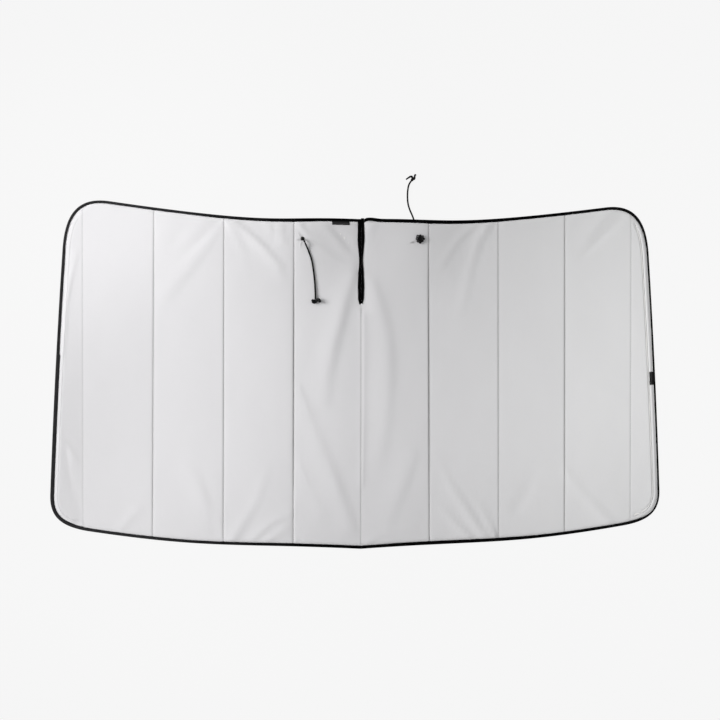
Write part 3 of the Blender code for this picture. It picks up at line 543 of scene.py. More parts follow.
NEAR_SEAM = [0.0, 0.0006, SLIT_CUT, 0.0022, 0.0034, 0.0048, 0.0066, 0.0090, 0.0122]
NEAR_EDGE = [0.0, 0.0030, 0.0056, 0.0068, 0.0082, 0.0100, 0.0124, 0.0158, 0.0200]
NOTCH_END = 0.0004
EYELET_HOLE = 0.0036


def bay_columns(fine):
    """x of the columns of the right half, packed close beside each seam."""
    near = np.array(NEAR_SEAM if fine else [0.0, SLIT_CUT, 0.0048, 0.0100])
    middle = np.linspace(near[-1], BAY - near[-1], 16 if fine else 7)[1:-1]
    one = np.concatenate([near, middle, (BAY - near)[::-1]])
    columns = np.concatenate([*(k * BAY + one[:-1] for k in range(4)), [OUTER_SEAM]])
    if fine:
        columns = columns[np.abs(columns - EYELET_X) > 0.0105]
        columns = np.sort(np.concatenate([columns, EYELET_X + 0.0023 * np.arange(-8, 5)]))
    return columns


def row_shares(fine):
    """Shares of the way up at which the rows lie: packed at both edges, one of them at the slit's end."""
    near = np.array(NEAR_EDGE if fine else [0.0, 0.0056, 0.0090, 0.0150]) / 0.8
    low, high = float(FABRIC_EDGE[-1, 1]), float(FABRIC_EDGE[0, 1])
    stop = (SLIT_END - NOTCH_END - low) / (high - low)
    counts = (81, 48) if fine else (30, 14)
    lower = np.linspace(near[-1], stop, counts[0])
    upper = np.linspace(stop, 1 - near[-1], counts[1])
    return np.concatenate([near[:-1], lower, upper[1:], (1 - near[:-1])[::-1]])


def wing_patch(rows, fine):
    """Coons patch between the outer seam and the edge: the sum of its two rulings less its corners' blend."""
    ends = [0.0, 0.02, 0.05, 0.09, 0.14, 0.2, 0.28] if fine else [0.0, 0.06, 0.2]
    tail = [0.78, 0.83, 0.87, 0.905, 0.935, 0.96, 0.98, 1.0] if fine else [0.85, 0.93, 1.0]
    u = np.concatenate([ends, np.linspace(ends[-1], tail[0], 21 if fine else 4)[1:-1], tail])
    top, bottom = FABRIC_EDGE[: TOP_END + 1], FABRIC_EDGE[BOTTOM_START:][::-1]
    top = top[top[:, 0] >= OUTER_SEAM]
    bottom = bottom[bottom[:, 0] >= OUTER_SEAM]
    top = np.vstack([(OUTER_SEAM, fabric_top(OUTER_SEAM)), top])
    bottom = np.vstack([(OUTER_SEAM, fabric_bottom(OUTER_SEAM)), bottom])
    outer = FABRIC_EDGE[TOP_END: BOTTOM_START + 1][::-1]
    upper = at_length(top, u * lengths(top)[-1])[None, :, :]
    lower = at_length(bottom, u * lengths(bottom)[-1])[None, :, :]
    right = at_length(outer, rows * lengths(outer)[-1])[:, None, :]
    left = (bottom[0] + rows[:, None] * (top[0] - bottom[0]))[:, None, :]
    u, v = u[None, :, None], rows[:, None, None]
    blend = (1 - u) * (1 - v) * left[0] + u * (1 - v) * right[0] + (1 - u) * v * left[-1] + u * v * right[-1]
    return (1 - v) * lower + v * upper + (1 - u) * left + u * right - blend


def fabric_top(x):
    """y of the cloth's top edge at each x."""
    return np.interp(np.abs(x), FABRIC_EDGE[:TOP_END, 0], FABRIC_EDGE[:TOP_END, 1])


def fabric_bottom(x):
    """y of the cloth's bottom edge at each x."""
    edge = FABRIC_EDGE[BOTTOM_START:][::-1]
    return np.interp(np.abs(x), edge[:, 0], edge[:, 1])


def cloth_grid(fine):
    """Places of the whole cloth as rows by columns: the right half's patches and their mirror image."""
    rows = row_shares(fine)
    x = bay_columns(fine)
    low, high = fabric_bottom(x), fabric_top(x)
    y = low + rows[:, None] * (high - low)
    bays = np.stack([np.broadcast_to(x, y.shape), y], axis=2)
    right = np.concatenate([bays, wing_patch(rows, fine)[:, 1:]], axis=1)
    left = right[:, :0:-1] * (-1.0, 1.0)
    return np.concatenate([left, right], axis=1)


def cloth(name, fine, height, finish, flip):
    """A cloth sheet over the grid, without the slit's notch and the eyelets' holes, and given its thickness."""
    places = cloth_grid(fine)
    x, y = places[..., 0], places[..., 1]
    distance = outline_distance(x, y)
    z = height(x, y, distance)
    faces, _, _ = quads(*x.shape)
    middle = places.reshape(-1, 2)[faces].mean(axis=1)
    notch = (np.abs(middle[:, 0]) < SLIT_CUT) & (middle[:, 1] > SLIT_END - NOTCH_END)
    eyelet = np.hypot(np.abs(middle[:, 0]) - EYELET_X, middle[:, 1] - EYELET_Y) < EYELET_HOLE
    used, faces = np.unique(faces[~(notch | eyelet)], return_inverse=True)
    points = np.stack([x.ravel(), y.ravel(), z.ravel()], axis=1)[used]
    # The seam tag carries the face's painted shade.
    made = new_piece(name, with_moved_seams(points), faces.reshape(-1, 4), finish,
                     tags={"seam": painted_shade(x, y, distance).ravel()[used]}, flip=flip)
    solid = made.modifiers.new("thickness", "SOLIDIFY")
    solid.thickness = FABRIC
    solid.offset = -1.0
    return made


# Shader trees


class Number:
    """A number in a material's tree; each operator adds the Math node that works it out."""

    def __init__(self, tree, socket):
        self.tree, self.socket = tree, socket

    def maths(self, operation, *others):
        """One Math node, on this number and the others."""
        return self.tree.node("Math", {"operation": operation}, dict(enumerate((self, *others))))

    def __add__(self, other):
        return self.maths("ADD", other)

    def __sub__(self, other):
        return self.maths("SUBTRACT", other)

    def __mul__(self, other):
        return self.maths("MULTIPLY", other)

    def __truediv__(self, other):
        return self.maths("DIVIDE", other)

    def __pow__(self, other):
        return self.maths("POWER", other)

    def __rsub__(self, other):
        return (self * -1.0) + other

    __radd__, __rmul__ = __add__, __mul__

    def sine(self):
        return self.maths("SINE")

    def size(self):
        """The number without its sign."""
        return self.maths("ABSOLUTE")

    def held(self):
        """The number kept between 0 and 1."""
        return self.tree.node("Clamp", {}, {0: self})


class Tree:
    """A tree of shader nodes, and the one method that adds nodes to it."""

    def __init__(self, tree):
        self.tree = tree

    def put(self, socket, value):
        """Links a number to a socket, or sets the socket's own value."""
        if isinstance(value, Number):
            self.tree.links.new(value.socket, socket)
        else:
            socket.default_value = value

    def node(self, kind, settings, values, output=0):
        """Adds a node: its settings first, then its sockets' values or links."""
        made = self.tree.nodes.new("ShaderNode" + kind)
        for setting, value in settings.items():
            setattr(made, setting, value)
        for socket, value in values.items():
            self.put(made.inputs[socket], value)
        return Number(self, made.outputs[output])

    def seen_ray(self):
        """1 for a ray from the camera, from a reflection or through glass, and 0 for other rays."""
        camera, glossy, through = (
            self.node("LightPath", {}, {}, f"Is {kind} Ray") for kind in ("Camera", "Glossy", "Transmission"))
        return camera.maths("MAXIMUM", glossy).maths("MAXIMUM", through)


class Finish(Tree):
    """One material: its tree, its shader and what that reads."""

    def __init__(self, name, roughness, **fixed):
        self.material = bpy.data.materials.new(name)
        self.material.use_nodes = True
        super().__init__(self.material.node_tree)
        self.shader = self.tree.nodes["Principled BSDF"]
        for socket, value in {"Roughness": roughness, **fixed}.items():
            self.shader.inputs[socket.replace("_", " ")].default_value = value

    def places(self):
        """The place of each point on the object, in metres."""
        return self.node("TexCoord", {}, {}, "Object")

    def parts(self, vector):
        """The three numbers of a vector."""
        return [self.node("SeparateXYZ", {}, {0: vector}, axis) for axis in range(3)]

    def surface(self):
        """The piece's own UV map: a length along in metres, and a length or a share across."""
        return self.parts(self.node("UVMap", {"uv_map": "UVMap"}, {}))[:2]

    def tag(self, name):
        """The number that the piece carries at each of its points."""
        return self.node("Attribute", {"attribute_name": name}, {}, "Fac")

    def noise(self, scale, detail=2.0, roughness=0.5):
        """Cloudy noise over the object's places, from 0 to 1."""
        values = {"Vector": self.places(), "Scale": scale, "Detail": detail, "Roughness": roughness}
        return self.node("TexNoise", {}, values)

    def mix(self, share, first, second):
        """First where the share is 0, second where it is 1."""
        return self.node("Mix", {"data_type": "RGBA"}, {0: share, 6: first, 7: second}, 2)

    def colour(self, value):
        self.put(self.shader.inputs["Base Color"], value)

    def rough(self, value):
        self.put(self.shader.inputs["Roughness"], value)

    def bump(self, height, distance, strength=1.0, normal=None):
        """Relief of a height from 0 to 1 times the distance, over an earlier relief where one is given."""
        values = {"Height": height, "Distance": distance, "Strength": strength}
        if normal is not None:
            values["Normal"] = normal
        made = self.node("Bump", {}, values)
        self.put(self.shader.inputs["Normal"], made)
        return made


def shade(level, tint=(1.0, 1.0, 1.0)):
    """A grey of one level, each channel times its tint."""
    return (level * tint[0], level * tint[1], level * tint[2], 1.0)


def ribs(along, pitch):
    """Ribs across a length: a sine with one turn for each pitch."""
    return (along * (2 * math.pi / pitch)).sine()


def weave(x, y, pitch):
    """Plain weave: the product of one sine across the warp and one across the weft."""
    return ribs(x, pitch) * ribs(y, pitch)


def face_finish():
    """Coated light grey cloth: fine weave, slow changes of tone, and painted shade in darker grey where the face's
    tag asks for it.
    """
    made = Finish("coated_face_cloth", 0.55, Specular_IOR_Level=0.16)
    x, y, _ = made.parts(made.places())
    tone = made.noise(5.0, 3.0) * 0.5 + made.noise(1300.0, 2.0) * 0.5
    plain = made.mix(tone, shade(0.640, (1.0, 1.0, 1.012)), shade(0.690, (1.0, 1.0, 1.008)))
    # Painted shade: the cloth turns darker grey where the seam tag is high.
    made.colour(made.mix(made.tag("seam"), plain, shade(0.26)))
    made.rough(made.noise(240.0, 2.0) * 0.16 + 0.48)
    fine = made.bump(weave(x, y, 0.0009), 0.00002, 0.5)
    made.bump(made.noise(60.0, 3.0, 0.55), 0.0005, 0.30, fine)
    return made.material


def lining_finish():
    """Dark woven lining: diagonal twill lines over a soft mottle."""
    made = Finish("dark_lining_cloth", 0.85, Sheen_Weight=0.25)
    x, y, _ = made.parts(made.places())
    twill = ribs(x + y, 0.0011)
    tone = made.noise(7.0, 3.0) * 0.6 + made.noise(900.0, 2.0) * 0.4
    made.colour(made.mix(tone, shade(0.026), shade(0.046, (1.0, 1.0, 1.06))))
    made.rough(0.78 + made.noise(150.0) * 0.14)
    made.bump(twill, 0.00008, 0.5)
    return made.material


def tape_finish():
    """Black binding tape: fine ribs, dusty in patches, and a painted sheen that makes it paler towards the cover's
    sides, most on the left.
    """
    made = Finish("black_binding_tape", 0.62, Specular_IOR_Level=0.0)
    along, across = made.surface()
    dust = (made.noise(38.0, 4.0, 0.6) * 1.6 - 0.45).held()
    x = made.parts(made.places())[0]
    # Painted sheen: the tape grows paler towards the left end and a little towards the right end, patchy with the
    # dust.
    lit = (((x * -1.0 - 0.14) * 2.4).held() + ((x - 0.45) * 1.4).held() * 0.6).held()
    plain = made.mix(dust, shade(0.0012, (1.0, 1.0, 1.08)), shade(0.0040, (1.0, 1.0, 1.06)))
    made.colour(made.mix(lit * (dust * 0.5 + 0.5), plain, shade(0.036, (1.0, 1.0, 1.04))))
    made.rough(0.52 + made.noise(500.0) * 0.2)
    made.bump(ribs(along, 0.0008) * 0.7 + ribs(across, 0.0011) * 0.3, 0.00012, 0.8)
    return made.material


def thread_finish(name, level):
    """Sewing thread: two plies twisted round each other."""
    made = Finish(name, 0.6, Specular_IOR_Level=0.05)
    along, across = made.surface()
    twist = ribs(along * 2.0 + across, 1.0)
    made.colour(made.mix(twist * 0.5 + 0.5, shade(level * 0.8), shade(level * 1.15)))
    made.rough(0.5 + made.noise(700.0) * 0.2)
    made.bump(twist, 0.00005, 0.6)
    return made.material


def cord_finish():
    """Braided elastic: strands that wind both ways round the cord and pass over and under each other."""
    made = Finish("black_braided_elastic", 0.7, Specular_IOR_Level=0.05)
    along, around = made.surface()
    over = ribs(along / 0.0062 + around * 4.0, 1.0) * ribs(along / 0.0062 - around * 4.0, 1.0)
    fleck = (over * 0.5 + 0.5) * (made.noise(900.0) * 0.6 + 0.4)
    made.colour(made.mix(fleck, shade(0.002), shade(0.010, (1.0, 1.0, 1.05))))
    made.rough(0.6 + over * 0.08)
    made.bump(over, 0.00025, 0.9)
    return made.material


def plastic_finish():
    """Black moulded plastic: fine grain, paler rubbed places, and a painted highlight where its tag asks for it."""
    made = Finish("black_moulded_plastic", 0.36, Specular_IOR_Level=0.10)
    rub = (made.noise(160.0, 3.0, 0.6) * 3.0 - 1.5).held()
    # Painted highlight: paler flecks where the tag marks the lobes that face the lamps.
    wear_and_painted_highlight = (made.tag("wear_and_painted_highlight") * (made.noise(330.0, 2.0) * 4.0 - 1.4)).held()
    made.colour(made.mix(wear_and_painted_highlight, made.mix(rub, shade(0.001), shade(0.005, (1.0, 1.0, 1.04))), shade(0.120)))
    made.rough(0.24 + made.noise(420.0, 3.0) * 0.2)
    made.bump(made.noise(2600.0, 2.0), 0.00006, 0.5)
    return made.material


def metal_finish():
    """Black painted metal: worn to bare metal in flecks along its inner lip."""
    made = Finish("black_painted_eyelet", 0.35, Specular_IOR_Level=0.08)
    # This mask is real wear only: bare metal flecks along the inner lip.
    wear_and_painted_highlight = (made.tag("wear") * (made.noise(700.0, 3.0) * 2.2 - 0.8)).held()
    made.colour(made.mix(wear_and_painted_highlight, shade(0.003), shade(0.42, (1.0, 0.98, 0.95))))
    made.put(made.shader.inputs["Metallic"], wear_and_painted_highlight * 0.9)
    made.rough(0.42 - wear_and_painted_highlight * 0.12 + made.noise(300.0) * 0.08)
    made.bump(made.noise(1500.0, 2.0), 0.00003, 0.4)
    return made.material


def label_finish():
    """Black woven label, blank: satin rows, with a paler band just past its middle."""
    made = Finish("black_woven_label", 0.55, Specular_IOR_Level=0.15)
    along, across = made.surface()
    band = (1 - ((across - 0.60) * 5.5).size()).held() ** 0.5
    made.colour(made.mix(band * (made.noise(1200.0) * 0.5 + 0.5), shade(0.0012), shade(0.045, (1, 1, 1.03))))
    made.rough(0.5 + made.noise(600.0) * 0.15)
    made.bump(ribs(along, 0.0007), 0.00006, 0.6)
    return made.material


def foam_finish():
    """White closed-cell foam: round cells, and a slight yellowing in patches."""
    made = Finish("white_foam_board", 0.9)
    made.colour(made.mix(made.noise(9.0, 3.0), shade(0.76), shade(0.80, (1.0, 0.99, 0.94))))
    cells = made.node("TexVoronoi", {}, {"Vector": made.places(), "Scale": 700.0})
    made.rough(0.8 + cells * 0.15)
    made.bump(cells, 0.0002, 0.5)
    return made.material


FACE, LINING, TAPE_CLOTH = face_finish(), lining_finish(), tape_finish()
BLACK_THREAD, GREY_THREAD = thread_finish("black_thread", 0.003), thread_finish("grey_thread", 0.30)
ELASTIC, PLASTIC, METAL = cord_finish(), plastic_finish(), metal_finish()
WOVEN, FOAM = label_finish(), foam_finish()


# Sweeps


def tube_shape(centres, radii, keep, around):
    """A round tube along a line, capped, its sections turned about the fixed direction `keep`.

    Each point is its centre plus the radius times the cosine of a turn along one side and its sine along the other.
    """
    along = unit(np.gradient(centres, axis=0))
    sides = unit(keep - (along @ keep)[:, None] * along)
    ups = np.cross(along, sides)
    turns, radii = full_turn(around), np.asarray(radii)[:, None]
    a, b = (radii * np.cos(turns))[..., None], (radii * np.sin(turns))[..., None]
    points = centres[:, None, :] + a * sides[:, None, :] + b * ups[:, None, :]
    faces, rows, columns = quads(len(centres), around, ring_columns=True)
    return points.reshape(-1, 3), [*faces, *end_faces(len(centres), around)], rows, columns


# Edge and slit tapes


def tape_section(width, pucker=0.0):
    """The folded tape as (inwards, height) round its outline: flat below, a half round fold, sewn down on top."""
    w, h, t = np.asarray(width, float), TAPE_HEIGHT, TAPE
    turns = np.radians([-90, -54, -18, 18, 54, 90])
    fold = np.stack([h / 2 * (1 - np.cos(turns)), h / 2 * (1 + np.sin(turns))], axis=1)
    hollow = np.stack([h / 2 - (h / 2 - t) * np.cos(turns), h / 2 + (h / 2 - t) * np.sin(turns)], axis=1)[::-1]
    ones = np.ones(w.shape)
    bump = np.asarray(pucker, float)

    def at(inwards, height, lifted=0.0):
        return np.stack([inwards * ones, height * ones + lifted * bump], axis=-1)

    points = [at(w - 0.0001, 0.0001), at(w * 0.6, 0.0)]
    points += [at(a, b) for a, b in fold]
    points += [
        at(w * 0.42, h + 0.00005, 0.5), at(w - 0.0028, h - 0.00004, 0.8),
        at(w - STITCH_FROM_FREE_EDGE, h - 0.00030, 0.3),
        at(w - 0.0010, h - 0.00006, 1.0), at(w - 0.0002, h - 0.00012, 1.0), at(w, h - 0.0004, 1.0),
        at(w - 0.0002, h - t, 1.0), at(w - STITCH_FROM_FREE_EDGE, h - t - 0.0001),
    ]
    points += [at(a, b) for a, b in hollow]
    points += [at(w * 0.6, t), at(w - 0.0001, t - 0.0001)]
    return np.stack(points, axis=-2)


def tape_piece(name, places, normals, widths, pucker):
    """The tape's section carried along an edge, raised by the lift, with both ends closed."""
    section = tape_section(widths, pucker)
    inwards, height = section[..., 0], section[..., 1]
    x, y = (places[:, None, axis] + inwards * normals[:, None, axis] for axis in (0, 1))
    points = np.stack([x, y, height + lift(x, y) + slit_raise(x, y)], axis=2)
    count = section.shape[-2]
    faces, rows, columns = quads(len(places), count, ring_columns=True)
    around = lengths(np.vstack([section[0], section[0, :1]]))
    uv = np.stack([lengths(places)[rows], around[columns]], axis=2)
    return new_piece(name, points, [*faces, *end_faces(len(places), count)], TAPE_CLOTH,
                     uv=[*uv, section[0][::-1], section[-1]], flip=True, sharp=50)


# Where the outer tape starts beside the slit, its spacing of sections, its step up just right of the slit, and the
# slit tapes' width at depths down the slit
EDGE_START, EDGE_STEP, STEP_BY_SLIT = 0.0079, 0.0052, 0.0034
SLIT_WIDTHS = [
    (0.0, 0.0074), (0.030, 0.0076), (0.045, 0.0082), (0.104, 0.0044), (0.135, 0.0066), (0.164, 0.0075),
    (0.192, 0.0068), (SLIT_LENGTH, 0.0040),
]


def whole_edge():
    """The outer edge from the right of the slit clockwise to its left, with its normals."""
    begin = float(np.interp(EDGE_START, HALF[:TOP_END, 0], HALF_LENGTHS[:TOP_END]))
    spots = np.append(np.arange(begin, HALF_LENGTHS[-1], EDGE_STEP), HALF_LENGTHS[-1])
    place, normal = at_length(HALF, spots), unit(read_at(spots, HALF_LENGTHS, HALF_NORMALS))
    normal[0] = (0.0, -1.0)
    place, normal = (np.vstack([right, right[-2::-1] * (-1.0, 1.0)]) for right in (place, normal))
    x, y = place.T
    beside = held((x - 0.006) / 0.010) * bell(np.maximum(x - 0.016, 0.0), 0.026)
    place[:, 1] = y + STEP_BY_SLIT * eased(beside) * (y > 0)
    return place, normal


def edge_widths(places):
    """Visible width of the tape: broad on the left, top and bottom, narrow down the right side."""
    x, y = places.T
    width = TAPE_WIDTH + tape_extra(x, y)
    width -= 0.0026 * held((x - 0.685) / 0.03)
    width -= 0.0010 * (1 - held((x + 0.42) / 0.10)) * (y > 0.05)
    width -= 0.0006 * bell(x + 0.35, 0.10) * (y < -0.05)
    width += 0.0010 * (1 - held((x + 0.69) / 0.03)) * (y < 0.05)
    width += 0.0007 * bell(x - 0.05, 0.05) * (y > 0)
    width -= 0.0009 * bell(x + 0.028, 0.03) * (y > 0)
    return width + 0.0002 * waves(x, y, 0.08, 31) + 0.0001 * waves(x, y, 0.02, 33)


def stitch_row(name, centres, ways, ups, kind, finish):
    """Short threads, each a closed five sided spindle laid along its way and sunk a little at both ends."""
    _, length, radius = kind
    around, rows = 5, np.array([-0.5, -0.34, 0.34, 0.5]) * length
    swell = np.array([0.35, 0.95, 0.95, 0.35]) * radius
    sunk = np.array([-1.1, 0.0, 0.0, -1.1]) * radius
    turns = full_turn(around)
    aside, above = np.outer(swell, np.cos(turns)), sunk[:, None] + np.outer(swell, np.sin(turns))
    centres, ways, ups, sides = (v[:, None, None, :] for v in (centres, ways, ups, np.cross(ups, ways)))
    points = centres + rows[:, None, None] * ways + aside[..., None] * sides + above[..., None] * ups
    one, across, along = quads(len(rows), around, ring_columns=True)
    per = len(rows) * around
    starts = per * np.arange(len(centres))[:, None]
    tubes = (starts[..., None] + one[:, ::-1]).reshape(-1, 4)
    first, last = starts + np.arange(around), starts + per - around + np.arange(around)[::-1]
    uv = np.stack([across[:, ::-1] / 3.0, along[:, ::-1] / around], axis=2)
    uv = [np.tile(uv, (len(centres), 1, 1)).reshape(-1, 2), np.zeros((len(centres) * 2 * around, 2))]
    return new_piece(name, points, [*tubes, *first, *last], finish, uv=uv)


def on_tape(seat, ways, raised=0.0):
    """Stitches seated on top of a tape: their centres, ways and ups."""
    height = TAPE_HEIGHT - STITCH_SUNK + lift(*seat.T) + raised
    return np.column_stack([seat, height]), ways, np.tile(UP, (len(seat), 1))


def make_edge_tape():
    """The tape round the outer edge, kinked a little at each stitched line, and its stitches."""
    places, normals = whole_edge()
    pucker = 0.00016 * waves(*places.T, 0.011, 35) + 0.0001
    kinks = sum(bell(np.abs(places[:, 0]) - k * BAY, 0.004) for k in range(1, 5))
    widths = edge_widths(places) + 0.0006 * kinks
    made = tape_piece("edge_tape", places, normals, widths, pucker)
    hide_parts("edge_binding")
    marks = lengths(places)
    spots = np.arange(0.004, marks[-1] - 0.004, TAPE_STITCH[0])
    inward = unit(read_at(spots, marks, normals))
    reach = np.interp(spots, marks, widths) - STITCH_FROM_FREE_EDGE
    seat = at_length(places, spots) + reach[:, None] * inward
    return made, on_tape(seat, np.column_stack([-inward[:, 1], inward[:, 0], 0 * spots]))


def make_slit_tape(side, label):
    """The tape down one side of the slit, its width eased along a cosine between marks, and its stitches."""
    depth = np.linspace(0.0, SLIT_LENGTH, 70)
    marks, wide = np.array(SLIT_WIDTHS).T
    count = np.interp(depth, marks, np.arange(len(marks)))
    whole = np.floor(np.minimum(count, len(marks) - 1.001)).astype(int)
    share = (1 - np.cos(math.pi * (count - whole))) / 2
    width = wide[whole] + share * (wide[whole + 1] - wide[whole]) + 0.0007 * (side < 0)
    top = float(top_edge(SLIT_CLEARANCE))
    places = np.stack([np.full(len(depth), side * SLIT_CLEARANCE), top + 0.0010 * (side + 1) - depth], axis=1)
    normals = np.tile((float(side), 0.0), (len(depth), 1))
    pucker = 0.0002 * waves(places[:, 0] + side, places[:, 1], 0.012, 41 + side) + 0.0001
    made = tape_piece(f"slit_tape_{label}", places, normals, width, pucker)
    if side < 0:
        made.data.flip_normals()
    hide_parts(f"slit_binding_{label}")
    spots = np.arange(0.004, SLIT_LENGTH - 0.005, TAPE_STITCH[0])
    reach = np.interp(spots, depth, width) - STITCH_FROM_FREE_EDGE
    seat = np.stack([side * (SLIT_CLEARANCE + reach), top - spots], axis=1)
    return made, on_tape(seat, np.tile((0.0, 1.0, 0.0), (len(spots), 1)), slit_raise(*seat.T))


def make_tapes():
    """The three tapes, and all their stitches as one piece."""
    tapes, rows = zip(make_edge_tape(), *(make_slit_tape(*side) for side in SIDES))
    centres, ways, ups = (np.concatenate(column) for column in zip(*rows))
    stitches = stitch_row("edge_stitches", centres, ways, ups, TAPE_STITCH, BLACK_THREAD)
    return [*tapes, stitches]


def seam_stitches():
    """Grey stitches along each line across the face, down in its valley, and round the wings' inner line."""
    seats, ways = [], []
    for k in range(-4, 5):
        x = k * BAY
        high = SLIT_END - 0.006 if k == 0 else float(fabric_top(x)) - 0.0075
        y = np.arange(float(fabric_bottom(x)) + 0.0075, high, LINE_STITCH[0])
        seats.append(np.stack([np.full(len(y), x), y], axis=1))
        ways.append(np.tile((0.0, 1.0, 0.0), (len(y), 1)))
    inner = HALF + WING_LINE * HALF_NORMALS
    inner = inner[inner[:, 0] > OUTER_SEAM + 0.010]
    line = at_length(inner, np.arange(0.0, lengths(inner)[-1], LINE_STITCH[0]))
    way = np.column_stack([unit(np.gradient(line, axis=0)), np.zeros(len(line))])
    for side in (-1.0, 1.0):
        seats.append(line * (side, 1.0))
        ways.append(way * (side, 1.0, 1.0))
    seats, ways = np.concatenate(seats), np.concatenate(ways)
    centres = with_moved_seams(np.column_stack([seats, face_over(*seats.T) + STITCH_RAISED]))
    step = 0.0015 * ways[:, :2]
    slope = (face_over(*(seats + step).T) - face_over(*(seats - step).T)) / 0.003
    ways = unit(ways + np.outer(slope, UP))
    ups = unit(np.cross(ways, np.cross(UP, ways)))
    return stitch_row("seam_stitches", centres, ways, ups, LINE_STITCH, GREY_THREAD)


# Eyelets, stops, hooks and cords


def turned(profile, around):
    """A ring turned about Z from a closed profile of (radius, height), as rows by columns."""
    turns, (r, z) = full_turn(around), profile.T
    return np.stack([np.outer(np.cos(turns), r), np.outer(np.sin(turns), r), np.tile(z, (around, 1))], axis=2)


def make_eyelet(side, label):
    """A rolled eyelet: barrel, and a flange whose lip rolls round a quarter circle on each side."""
    rolls = [(math.cos(a), math.sin(a)) for a in np.radians([0, 30, 60, 90])]
    outer = [(EYELET_FLANGE - OUTER_ROLL * (1 - c), EYELET_TOP - OUTER_ROLL * (1 - s)) for c, s in rolls]
    inner = [(EYELET_BORE + INNER_ROLL * (1 - s), EYELET_TOP - INNER_ROLL * (1 - c)) for c, s in rolls]
    profile = np.array([
        (EYELET_BORE, EYELET_FOOT), (EYELET_BARREL, EYELET_FOOT), (EYELET_BARREL, EYELET_SEAT),
        (EYELET_FLANGE, EYELET_SEAT), *outer, *inner,
    ])
    points = turned(profile, 40) + (side * EYELET_X, EYELET_Y, 0.0)
    faces, _, _ = quads(40, len(profile), True, True)
    wear = np.tile([0, 0, 0, 0, 0, 0.1, 0.2, 0.2, 0.3, 0.8, 1, 0.8], 40)  # most along the inner lip
    made = new_piece(f"eyelet_ring_{label}", points, faces, METAL,
                     tags={"wear": wear}, sharp=45)
    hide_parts(f"eyelet_{label}")


def make_stop(label, side, underside):
    """A lobed button: rings that rise, round over and dish in the middle, drawn in at eight notches.

    The radius of a ring is its scale times the button's radius, with slow waves for unevenness and less a squared
    cosine bell at each notch. The lobes on the upper left, which face the lamps, are tagged for a painted highlight.
    """
    rings = np.array([
        (0.10, 0.0), (0.86, 0.0), (0.955, 0.06), (1.0, 0.20), (1.0, 0.60), (0.97, 0.76), (0.90, 0.90), (0.80, 0.98),
        (0.70, 1.0), (0.60, 0.98), (0.50, 0.90), (0.44, 0.70), (0.40, 0.46), (0.30, 0.36), (0.10, 0.36),
    ])
    around = 96
    turn = full_turn(around)
    notch = ((1 - np.cos(8 * turn + 0.5 * np.sin(turn))) / 2) ** 2
    uneven = 0.0005 * np.sin(3 * turn + 0.6) + 0.0004 * np.sin(5 * turn + 2.1)
    scale, level = rings[:, 0, None], rings[:, 1, None]
    outer = held(2.2 * scale - 1.0)
    r = scale * (STOP_RADIUS + (uneven - STOP_NOTCH * notch) * outer)
    x, y = r * np.cos(turn), r * np.sin(turn)
    z = level * STOP_HEIGHT - 0.0016 * notch * outer * level**2
    faces, _, _ = quads(len(rings), around, ring_columns=True)
    faces = [*faces, *end_faces(len(rings), around)]
    aside = STOP_ASIDE if side > 0 else (0.0, 0.0)
    points = np.stack([x, y, z], axis=2) + (side * EYELET_X + aside[0], EYELET_Y + aside[1], underside)
    # Painted highlight on the top lobes of the upper left side, off the notches and the slot at the top
    wear_and_painted_highlight = held((level - 0.55) * 3.0) * (1 - notch) * held(0.40 - 0.7 * np.cos(turn + 0.7))
    wear_and_painted_highlight *= np.abs(x + 0.0002) > 0.0012 * (np.sin(turn) > 0)
    made = new_piece(f"stop_button_{label}", points, faces, PLASTIC,
                     tags={"wear_and_painted_highlight": wear_and_painted_highlight.ravel()}, sharp=50)
    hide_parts(f"cord_stop_{label}")
    return made


def smooth_curve(points, samples=24):
    """Catmull-Rom curve through the points, as a dense polyline."""
    points = np.array(points)
    padded = np.vstack([2 * points[0] - points[1], points, 2 * points[-1] - points[-2]])
    t = np.linspace(0.0, 1.0, samples, endpoint=False)[None, :, None]
    a, b, c, d = (padded[k: len(padded) - 3 + k, None, :] for k in range(4))
    curve = b + t * (c - a) / 2 + t**2 * (2 * a - 5 * b + 4 * c - d) / 2 + t**3 * (3 * b - a - 3 * c + d) / 2
    return np.vstack([curve.reshape(-1, points.shape[1]), points[-1:]])


# Cord routes in tenths of a mm: (x, y) from the eyelet, and the height of the middle line over its bed
FRONT_ROUTE = [
    (1, -3, -30), (5, -9, 28), (19, -34, 72), (43, -80, 90), (70, -132, 80), (98, -190, 54), (132, -262, 31),
    (164, -340, 22), (212, -472, 21), (245, -616, 21), (268, -760, 21), (287, -904, 21), (302, -1048, 23),
    (311, -1192, 28), (317, -1360, 36), (319, -1455, 37),
]
BACK_ROUTE = [
    (1, -4, 112), (2, -7, 90), (2, -5, 72), (-1, 2, 54), (-4, 13, 39), (-9, 28, 27), (-15, 45, 20), (-22, 66, 18),
    (-31, 95, 18), (-47, 150, 18), (-84, 285, 18), (-118, 410, 18), (-150, 520, 18), (-190, 621, 18), (-234, 720, 18),
    (-266, 814, 18), (-286, 910, 18), (-294, 1007, 18), (-295, 1104, 18), (-289, 1201, 20), (-271, 1312, 27),
    (-239, 1386, 33), (-198, 1441, 36),
]

